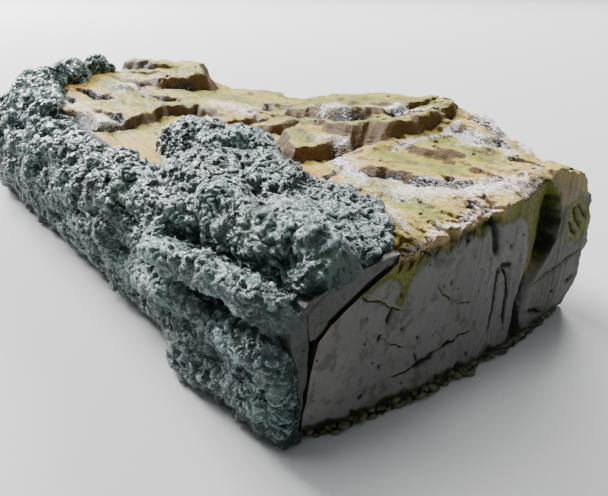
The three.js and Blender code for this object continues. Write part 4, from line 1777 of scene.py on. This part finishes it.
@dataclass
class BaseRim:
    """Crumbly bark under the log, standing a little out of the sawn end."""

    outline: tuple[tuple[float, float], ...] = (
        (-118, -61), (-60, -62), (20, -62), (110, -63), (138, -63), (147, -60), (151.5, -55), (153, -51),
        (153, -48), (153.6, -43), (154.4, -36), (155.2, -29), (156.4, -22), (157.2, -17), (155.8, -11),
        (155.8, -6), (158.0, -2), (157.4, 2), (155.0, 8), (155.6, 14), (156.4, 20), (155.2, 28), (153.4, 40),
        (151, 53), (147, 66), (100, 66), (10, 65), (-110, 64), (-136, 54), (-148, 34), (-150, 0),
        (-146, -32), (-136, -52),
    )
    section: tuple[tuple[float, float], ...] = (
        (-7.0, 2.6), (-4.5, 2.9), (-2.8, 3.2), (-1.8, 3.4), (-1.1, 3.2), (-0.6, 2.8), (-0.2, 2.3), (0.0, 1.8),
        (0.0, 1.3), (-0.1, 0.9), (-0.4, 0.5), (-0.9, 0.15), (-2.0, 0.0), (-4.0, 0.0), (-7.0, 0.0),
    )
    around: int = 1500
    crumb: float = 3.3
    highest: float = 5.2
    form: LogForm = FORM

    def ring_places(self) -> Array:
        """Evenly spaced places along the outline, with its corners rounded off.

        Returns:
            Rows of x and y.
        """
        corners = np.asarray(self.outline + self.outline[:1], dtype=float)
        lengths = np.concatenate([[0.0], np.cumsum(np.linalg.norm(np.diff(corners, axis=0), axis=1))])
        marks = np.linspace(0.0, lengths[-1], self.around, endpoint=False)
        ring = np.stack([np.interp(marks, lengths, corners[:, axis]) for axis in range(2)], axis=1)
        for _ in range(12):
            ring = 0.5 * ring + 0.25 * (np.roll(ring, 1, axis=0) + np.roll(ring, -1, axis=0))
        return ring

    def crumbled(self, ring: Array, outward: Array, reach: float, z: float) -> Array:
        """One ring of the section, broken up into crumbs.

        Args:
            ring: rows of x and y along the outline.
            outward: direction out of the log at each of them.
            reach: how far the ring stands out of the outline.
            z: its height.

        Returns:
            Rows of x, y, z.
        """
        noise = self.form.noise
        spots = np.column_stack([ring + outward * reach, np.full(self.around, z)])
        near, second, owner = noise.cells(noise.bend(spots, 5.0, 1.0), self.crumb)
        rough = 2.0 * (0.5 - near) - 1.3 * (1.0 - ramp(second - near, 0.0, 0.2)) + 0.8 * (owner - 0.5)
        rough += 0.5 * noise.smooth(spots, 1.8)
        squat = 1.0 - 0.35 * ramp(ring[:, 1], -20.0, 20.0)
        rough = rough * squat
        free = ramp(np.full(self.around, reach), -5.0, -1.5)
        spots[:, :2] += outward * (rough * free)[:, None]
        lift = 0.5 if z > 0.5 else 0.0
        spots[:, 2] = np.clip(z * squat + lift * rough * free, 0.0, self.highest)
        return spots

    def build(self) -> bpy.types.Object:
        """Build the rim by extruding a ring along its section, and dress it.

        Returns:
            The piece.
        """
        work = bmesh.new()
        circle = bmesh.ops.create_circle(work, cap_ends=False, segments=self.around, radius=1.0)
        ring = self.ring_places()
        centre = ring.mean(axis=0)
        outward = (ring - centre) / np.linalg.norm(ring - centre, axis=1)[:, None]
        verts = circle["verts"]
        for step, (reach, z) in enumerate(self.section):
            if step:
                grown = bmesh.ops.extrude_edge_only(work, edges=edges)
                verts = [item for item in grown["geom"] if isinstance(item, bmesh.types.BMVert)]
            for vert, spot in zip(verts, self.crumbled(ring, outward, reach, z)):
                vert.co = spot * MM
            chosen = set(verts)
            edges = [edge for edge in work.edges if edge.verts[0] in chosen and edge.verts[1] in chosen]
            if step == 0:
                bmesh.ops.contextual_create(work, geom=edges)
        bmesh.ops.contextual_create(work, geom=edges)
        bmesh.ops.recalc_face_normals(work, faces=work.faces)
        piece = new_piece("bark_rim", work)
        set_values(piece, "relief", 1.6 * relief_of(piece, 6) / MM)
        piece.data.materials.append(BASE_CRUMB.make())
        smooth_faces(piece, 60.0)
        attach(piece, "root")
        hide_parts("base_bark")
        return piece


@dataclass(frozen=True)
class Fold:
    """A ridge (lift above 0) or a furrow or pit (below 0) of the moss, along a line of x, y, z."""

    line: Line
    width: float
    lift: float


FOLDS = [
    Fold([(88, -52, 52), (107, -51, 54), (125, -51, 54), (140, -52, 53), (153, -49, 51)], 5.5, 4.6),
    Fold(
        [(84, -65, 43), (101, -65, 45), (115, -64, 47), (127, -64, 48), (144, -62, 47), (151, -59, 45)],
        3.0, -5.4,
    ),
    Fold(
        [(82, -70, 36), (102, -69, 39), (113, -68, 42), (125, -68, 43), (140, -67, 43), (152, -62, 41)],
        4.4, 5.0,
    ),
    Fold(
        [(80, -71, 33), (96, -71, 34), (108, -71, 33), (122, -71, 34), (136, -70, 35), (150, -66, 35)],
        3.0, -5.4,
    ),
    Fold([(88, -71, 29), (100, -71, 31), (110, -71, 32)], 2.6, 2.6),
    Fold([(126, -72, 27), (136, -72, 29), (143, -71, 30), (149, -67, 30)], 3.0, 2.4),
    Fold([(112, -72, 29), (118, -72, 31), (125, -72, 33)], 3.6, -5.5),
    Fold([(116, -72, 14), (128, -71, 18), (142, -70, 22)], 6.0, -2.6),
    Fold([(92, -68, 3), (104, -70, 5), (120, -70, 8)], 5.0, 3.4),
    Fold([(84, -70, 14), (100, -71, 18), (112, -71, 22)], 4.0, -2.6),
    Fold([(70, -70, 22), (86, -70, 26), (100, -71, 27)], 4.5, 2.2),
    Fold([(106, -44, 54), (115, -47, 54), (126, -46, 54)], 3.4, -6.0),
    Fold([(47, -20, 57), (54, -17, 57), (61, -15, 57)], 2.6, -5.0),
    Fold([(14, -6, 55), (20, -3, 55), (26, -1, 54)], 2.6, -4.0),
    Fold([(125, -34, 53), (128, -33, 53)], 2.6, -5.0),
    Fold([(132, -23, 52), (133, -23, 52)], 1.8, -3.6),
    Fold([(121, -19, 52), (122, -19, 52)], 1.4, -3.0),
    Fold([(95, -63, 46), (99, -62, 46)], 3.0, -4.0),
    Fold([(-9, -69, 23), (-7, -69, 22)], 2.4, -4.5),
    Fold([(-5, -69, 25), (8, -69, 27), (22, -69, 28)], 2.4, -3.4),
    Fold([(43, -59, 48), (50, -59, 49)], 2.6, -4.0),
    Fold([(30, -69, 17), (36, -69, 18)], 3.0, -4.5),
    Fold([(46, -69, 24), (52, -69, 27), (60, -69, 28)], 2.8, -4.0),
    Fold([(46, -64, 39), (56, -65, 39), (64, -66, 38)], 2.2, -3.4),
    Fold([(72, -68, 36), (77, -68, 34)], 3.4, -4.0),
    Fold([(136, -57, 52), (143, -56, 51)], 3.4, -5.5),
    Fold([(-97, -62, 41), (-86, -63, 43), (-72, -63, 43)], 2.2, -3.4),
    Fold([(-84, -66, 28), (-74, -67, 28)], 3.0, -3.4),
    Fold([(-46, -68, 30), (-38, -68, 38)], 2.6, -3.0),
    Fold([(-30, -68, 13), (-20, -68, 16), (-6, -69, 18)], 2.8, -3.0),
    Fold([(140, -49, 51), (151, -48, 50), (157, -46, 49)], 4.0, 3.0),
    Fold([(128, -40, 55), (140, -42, 55), (149, -43, 53)], 4.0, 2.0),
    Fold([(104, -34, 54), (116, -30, 53), (128, -27, 53)], 4.0, 2.0),
    Fold([(60, -60, 46), (74, -61, 48), (88, -60, 49)], 4.0, 2.2),
    Fold([(20, -66, 36), (34, -66, 38), (48, -65, 41)], 4.5, 2.0),
    Fold([(84, -32, 52), (96, -36, 53), (104, -40, 54)], 3.2, -3.0),
    Fold([(60, -36, 53), (72, -38, 52), (84, -42, 52)], 4.0, 2.0),
    Fold([(56, -46, 52), (72, -50, 51), (86, -55, 51)], 3.0, -2.6),
]


# How far back the moss reaches, against place along the log.
MOSS_BACK = [
    (-158, 66), (-143, 66), (-136, 14), (-118, 0), (-90, -18), (-60, -36), (-22, -34), (-14, 12), (50, 12),
    (72, 0), (110, -2), (130, 0), (152, -12),
]


@dataclass
class MossMat:
    """The moss: one thick crust with ridges, furrows, pits and matted crests."""

    voxel: float = 1.45
    cuts: int = 3
    lengths: int = 5
    foot: float = 0.4
    sink: float = 5.0
    furrow_gain: float = 1.5
    ridge_gain: float = 1.25
    form: LogForm = FORM
    noise: Noise = Noise(23)

    def past_edge(self, x: Array, y: Array) -> Array:
        """Distance to the ragged edge of the moss, negative over the bare wood."""
        bent = self.noise.bend(self.noise.bend(rows(x, y), 11.0, 3.2), 4.0, 1.6)
        return outline_distance(BARE_WOOD, bent[:, 0], bent[:, 1])

    def blank(self) -> bpy.types.Object:
        """Plain body of the mat, sunk under the wood where the wood is bare.

        Returns:
            The body, which the later steps work on.
        """
        piece = new_piece("moss_blank", unit_block((190, 84, 34)))
        along, across, up = get_places(piece).T
        form = self.form
        x = mix(-form.half_length + 4.5, form.sawn_x - 0.8, along)
        bare_back = read_line(MOSS_BACK, x)

        ceiling = np.full(len(x), 54.0)
        for _ in range(3):
            back = np.minimum(bare_back, form.back(x, ceiling))
            y_top = mix(form.front(MOSS_SIDE, x, ceiling), back, across)
            ceiling = form.moss_top(x, y_top)
        bare = ramp(-self.past_edge(x, y_top), 0.0, 3.0)
        ceiling = mix(ceiling, form.plain_top(x, y_top) - self.sink, bare)
        z = mix(self.foot, ceiling, up)
        y = mix(form.front(MOSS_SIDE, x, z), np.minimum(bare_back, form.back(x, z)), across)
        behind_bark = ramp(y - form.front(OUTER_SIDE, x, z), -0.5, 2.5)
        near_end = np.clip((x - 128.0) / 22.0, 0.0, 1.0) * (1.0 - ramp(z - form.moss_line(y), -1.5, 0.5))
        x = x - self.sink * behind_bark * near_end
        set_places(piece, rows(x, y, z) * MM)
        return piece

    def skinned(self, piece: bpy.types.Object) -> None:
        """Give the body an even skin of small faces.

        Args:
            piece: the body, whose mesh is replaced.
        """
        modifier = piece.modifiers.new("even_skin", "REMESH")
        modifier.mode = "VOXEL"
        modifier.voxel_size = self.voxel * MM
        graph = bpy.context.evaluated_depsgraph_get()
        evened = bpy.data.meshes.new_from_object(piece.evaluated_get(graph))
        piece.modifiers.clear()
        old = piece.data
        piece.data = evened
        bpy.data.meshes.remove(old)
        set_places(piece, even_out(piece, get_places(piece), 3))

    def refined(self, piece: bpy.types.Object) -> None:
        """Divide the faces that are open to the air, and round them off.

        Args:
            piece: the skinned body.
        """
        open_air = self.open_share(face_values(piece, "center", 3) / MM) > 0.02
        work = bmesh.new()
        work.from_mesh(piece.data)
        edges = {edge for face, chosen in zip(work.faces, open_air) if chosen for edge in face.edges}
        bmesh.ops.subdivide_edges(work, edges=list(edges), cuts=self.cuts, use_grid_fill=True)
        work.to_mesh(piece.data)
        work.free()
        places = get_places(piece)
        share = self.open_share(places / MM)[:, None]
        set_places(piece, mix(places, even_out(piece, places, 10), np.minimum(share * 4.0, 1.0)))

    def forms(self, places: Array) -> Array:
        """Ridges, furrows, clumps and pits.

        Args:
            places: rows of x, y, z.

        Returns:
            Their height at each place.
        """
        noise = self.noise
        bent = noise.bend(places, 10.0, 2.6)
        lift = np.zeros(len(places))
        for fold in FOLDS:
            gap, share = line_distance(fold.line, mix(places, bent, 0.6))
            gain = self.furrow_gain if fold.lift < 0.0 else self.ridge_gain
            lift += gain * fold.lift * end_fade(share, 4.0, 0.12) * bell(gap, fold.width)
        calm = 1.0 - 0.6 * ramp(places[:, 0], 78.0, 108.0)
        longer = 1.0 - 0.4 * ramp(places[:, 0], 20.0, 90.0)
        stretched = bent * rows(longer, 1.0, 1.0)
        near, second, _ = noise.cells(stretched, 15.0)
        lift += calm * (6.0 * (0.5 - near) + 1.4 * np.clip(second - near, 0.0, 0.3))
        near, second, _ = noise.cells(stretched + 7.0, 6.8)
        lift += (0.5 + 0.5 * calm) * (2.4 * (0.5 - near) + 1.6 * np.clip(second - near, 0.0, 0.3))
        near, _, owner = noise.cells(bent + 29.0, 9.0)
        lift -= 5.4 * (owner > 0.60) * calm * (1.0 - ramp(near, 0.08, 0.28))
        return lift

    def wrinkles(self, places: Array) -> Array:
        """Matted crests, crumbs and pores.

        Args:
            places: rows of x, y, z.

        Returns:
            Their height at each place.
        """
        noise = self.noise
        bent = noise.bend(noise.bend(places, 6.0, 2.0), 2.6, 0.8)
        near, second, _ = noise.cells(bent, (4.6, 3.6, 3.6))
        lift = 1.6 * (0.5 - near) + 1.9 * np.clip(second - near, 0.0, 0.25)
        lift += 0.55 * noise.ridged(bent, (5.4, 3.0, 3.0))
        lift += 0.34 * noise.ridged(bent + 50.0, (2.2, 1.4, 1.4))
        near, _, owner = noise.cells(places + 11.0, 5.0)
        return lift - 2.4 * (owner > 0.7) * (1.0 - ramp(near, 0.1, 0.22))

    def open_share(self, places: Array) -> Array:
        """Share of the crust that is open to the air.

        Args:
            places: rows of x, y, z.

        Returns:
            1 where it is open, 0 where it is buried in the log.
        """
        x, y, z = places.T
        form = self.form
        over_bare = ramp(-self.past_edge(x, y), 2.0, 5.0) * ramp(form.plain_top(x, y) - z, 1.0, 3.0)
        over_bare *= ramp(x, -151.5, -148.0)
        foot = ramp(z, 0.3, 2.0)
        back = 1.0 - ramp(y, 62.0, 66.0)
        in_end = ramp(x, 140.0, 143.0) * ramp(y - form.front(OUTER_SIDE, x, z), 0.5, 2.0)
        in_end *= 1.0 - ramp(z - form.moss_line(y), -2.0, 0.0)
        return (1.0 - over_bare) * foot * back * (1.0 - in_end)

    def lifted(self, piece: bpy.types.Object, lift: Array) -> None:
        """Move the open places of a piece out along its normals.

        Args:
            piece: the piece.
            lift: how far, one number a vertex in millimetres.
        """
        places = get_places(piece) / MM
        places = places + get_normals(piece) * (lift * self.open_share(places))[:, None]
        places[:, 2] = np.maximum(places[:, 2], 0.3)
        places[:, 0] = np.minimum(places[:, 0], self.form.sawn_x + 1.2)
        set_places(piece, places * MM)

    def crust(self) -> bpy.types.Object:
        """The whole crust, before it is cut into lengths.

        Returns:
            The crust, dressed.
        """
        piece = self.blank()
        self.skinned(piece)
        self.lifted(piece, self.forms(get_places(piece) / MM))
        # The hollow value also darkens the moss towards the floor, as painted shade.
        foot = 1.0 - ramp(get_places(piece)[:, 2] / MM, 3.0, 9.0)
        set_values(piece, "hollow", relief_of(piece, 14) / MM - 2.0 * foot)
        self.refined(piece)
        self.lifted(piece, self.wrinkles(get_places(piece) / MM))
        set_values(piece, "relief", relief_of(piece, 8) / MM)
        set_values(piece, "tone", 0.3 * self.noise.layered(get_places(piece) / MM, 30.0, 2))
        piece.data.materials.append(MossFinish().make())
        smooth_faces(piece)
        return piece

    def build(self) -> list[bpy.types.Object]:
        """Build the crust and cut it into lengths with about as many faces each.

        Returns:
            The lengths, from the far end to the sawn end.
        """
        crust = self.crust()
        names = [f"moss_crust_{number + 1}" for number in range(self.lengths)]
        along = np.sort(face_values(crust, "center", 3)[:, 0]) / MM
        marks = [float(along[len(along) * step // self.lengths]) for step in range(1, self.lengths)]
        pieces = cut_lengths(crust, names, marks)
        for piece in pieces:
            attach(piece, "root")
            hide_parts("moss_mat")
        return pieces


# ------------------------------------------------------------
# The studio
# ------------------------------------------------------------


@dataclass(frozen=True)
class Window:
    """A soft square light aimed at the log, with its place and width in metres and its power."""

    name: str
    place: tuple[float, float, float]
    width: float
    power: float


WINDOWS = (
    Window("side_window", (-2.2, -0.11, 1.2), 1.0, 215.0),
    Window("back_window", (-0.9, 1.7, 1.5), 0.8, 68.0),
    Window("top_light", (-0.2, -0.3, 1.2), 0.5, 8.0),
)


@dataclass
class Studio:
    """Pale floor, soft light and the camera."""

    eye: tuple[float, float, float] = (0.25962, -0.14421, 0.120)
    pitch_degrees: float = 24.06
    azimuth_degrees: float = 52.516
    lens: float = 38.19
    sensor: float = 36.0
    aim: tuple[float, float, float] = (0.0, 0.0, 0.03)
    floor_half: float = 3.0
    floor_dark: Colour = (0.54, 0.54, 0.54)
    floor_light: Colour = (0.63, 0.63, 0.63)
    sky: Colour = (0.9, 0.95, 1.0)
    sky_strength: float = 0.3

    def camera(self) -> None:
        """Camera a little above the sawn end's left corner."""
        data = bpy.data.cameras.new("camera")
        data.sensor_width = self.sensor
        data.lens = self.lens
        data.clip_start = 0.01
        camera = bpy.data.objects.new("camera", data)
        camera.location = self.eye
        tilt = math.radians(90.0 - self.pitch_degrees)
        camera.rotation_euler = (tilt, 0.0, math.radians(self.azimuth_degrees))
        bpy.context.scene.collection.objects.link(camera)
        bpy.context.scene.camera = camera

    def floor(self) -> None:
        """Wide pale floor with a faint grain."""
        work = bmesh.new()
        bmesh.ops.create_grid(work, x_segments=2, y_segments=2, size=self.floor_half)
        piece = new_piece("pale_floor", work)
        r = Recipe("pale_floor")
        grain = r.noise(r.stretched((1.0, 1.0, 1.0)), 0.9, 2.0, 0.6)
        colour = r.paint(self.floor_dark, self.floor_light, grain)
        r.finish(colour, 0.85, r.bump(grain, 0.15, 0.3), 0.0, 0.5)
        piece.data.materials.append(r.material)

    def light(self, window: Window) -> None:
        """Put up one light.

        Args:
            window: the light.
        """
        data = bpy.data.lights.new(window.name, "AREA")
        data.shape = "SQUARE"
        data.size = window.width
        data.energy = window.power
        light = bpy.data.objects.new(window.name, data)
        light.location = window.place
        way = Vector(self.aim) - Vector(window.place)
        light.rotation_euler = way.to_track_quat("-Z", "Y").to_euler()
        bpy.context.scene.collection.objects.link(light)

    def build(self) -> None:
        """Set up the studio."""
        self.camera()
        self.floor()
        for window in WINDOWS:
            self.light(window)
        world = bpy.data.worlds.new("soft_room")
        world.use_nodes = True
        background = world.node_tree.nodes["Background"]
        background.inputs["Color"].default_value = (*self.sky, 1.0)
        background.inputs["Strength"].default_value = self.sky_strength
        bpy.context.scene.world = world


def main() -> None:
    """Build every piece and report it."""
    logging.basicConfig(level=logging.INFO, format="%(name)s: %(message)s")
    Studio().build()
    pieces = [*WoodBody().build(), *BarkLayers().build(), BaseRim().build(), *MossMat().build()]
    for piece in pieces:
        piece.data.calc_loop_triangles()
        LOG.info("%s: %d triangles", piece.name, len(piece.data.loop_triangles))


if __name__ == "__main__":
    main()
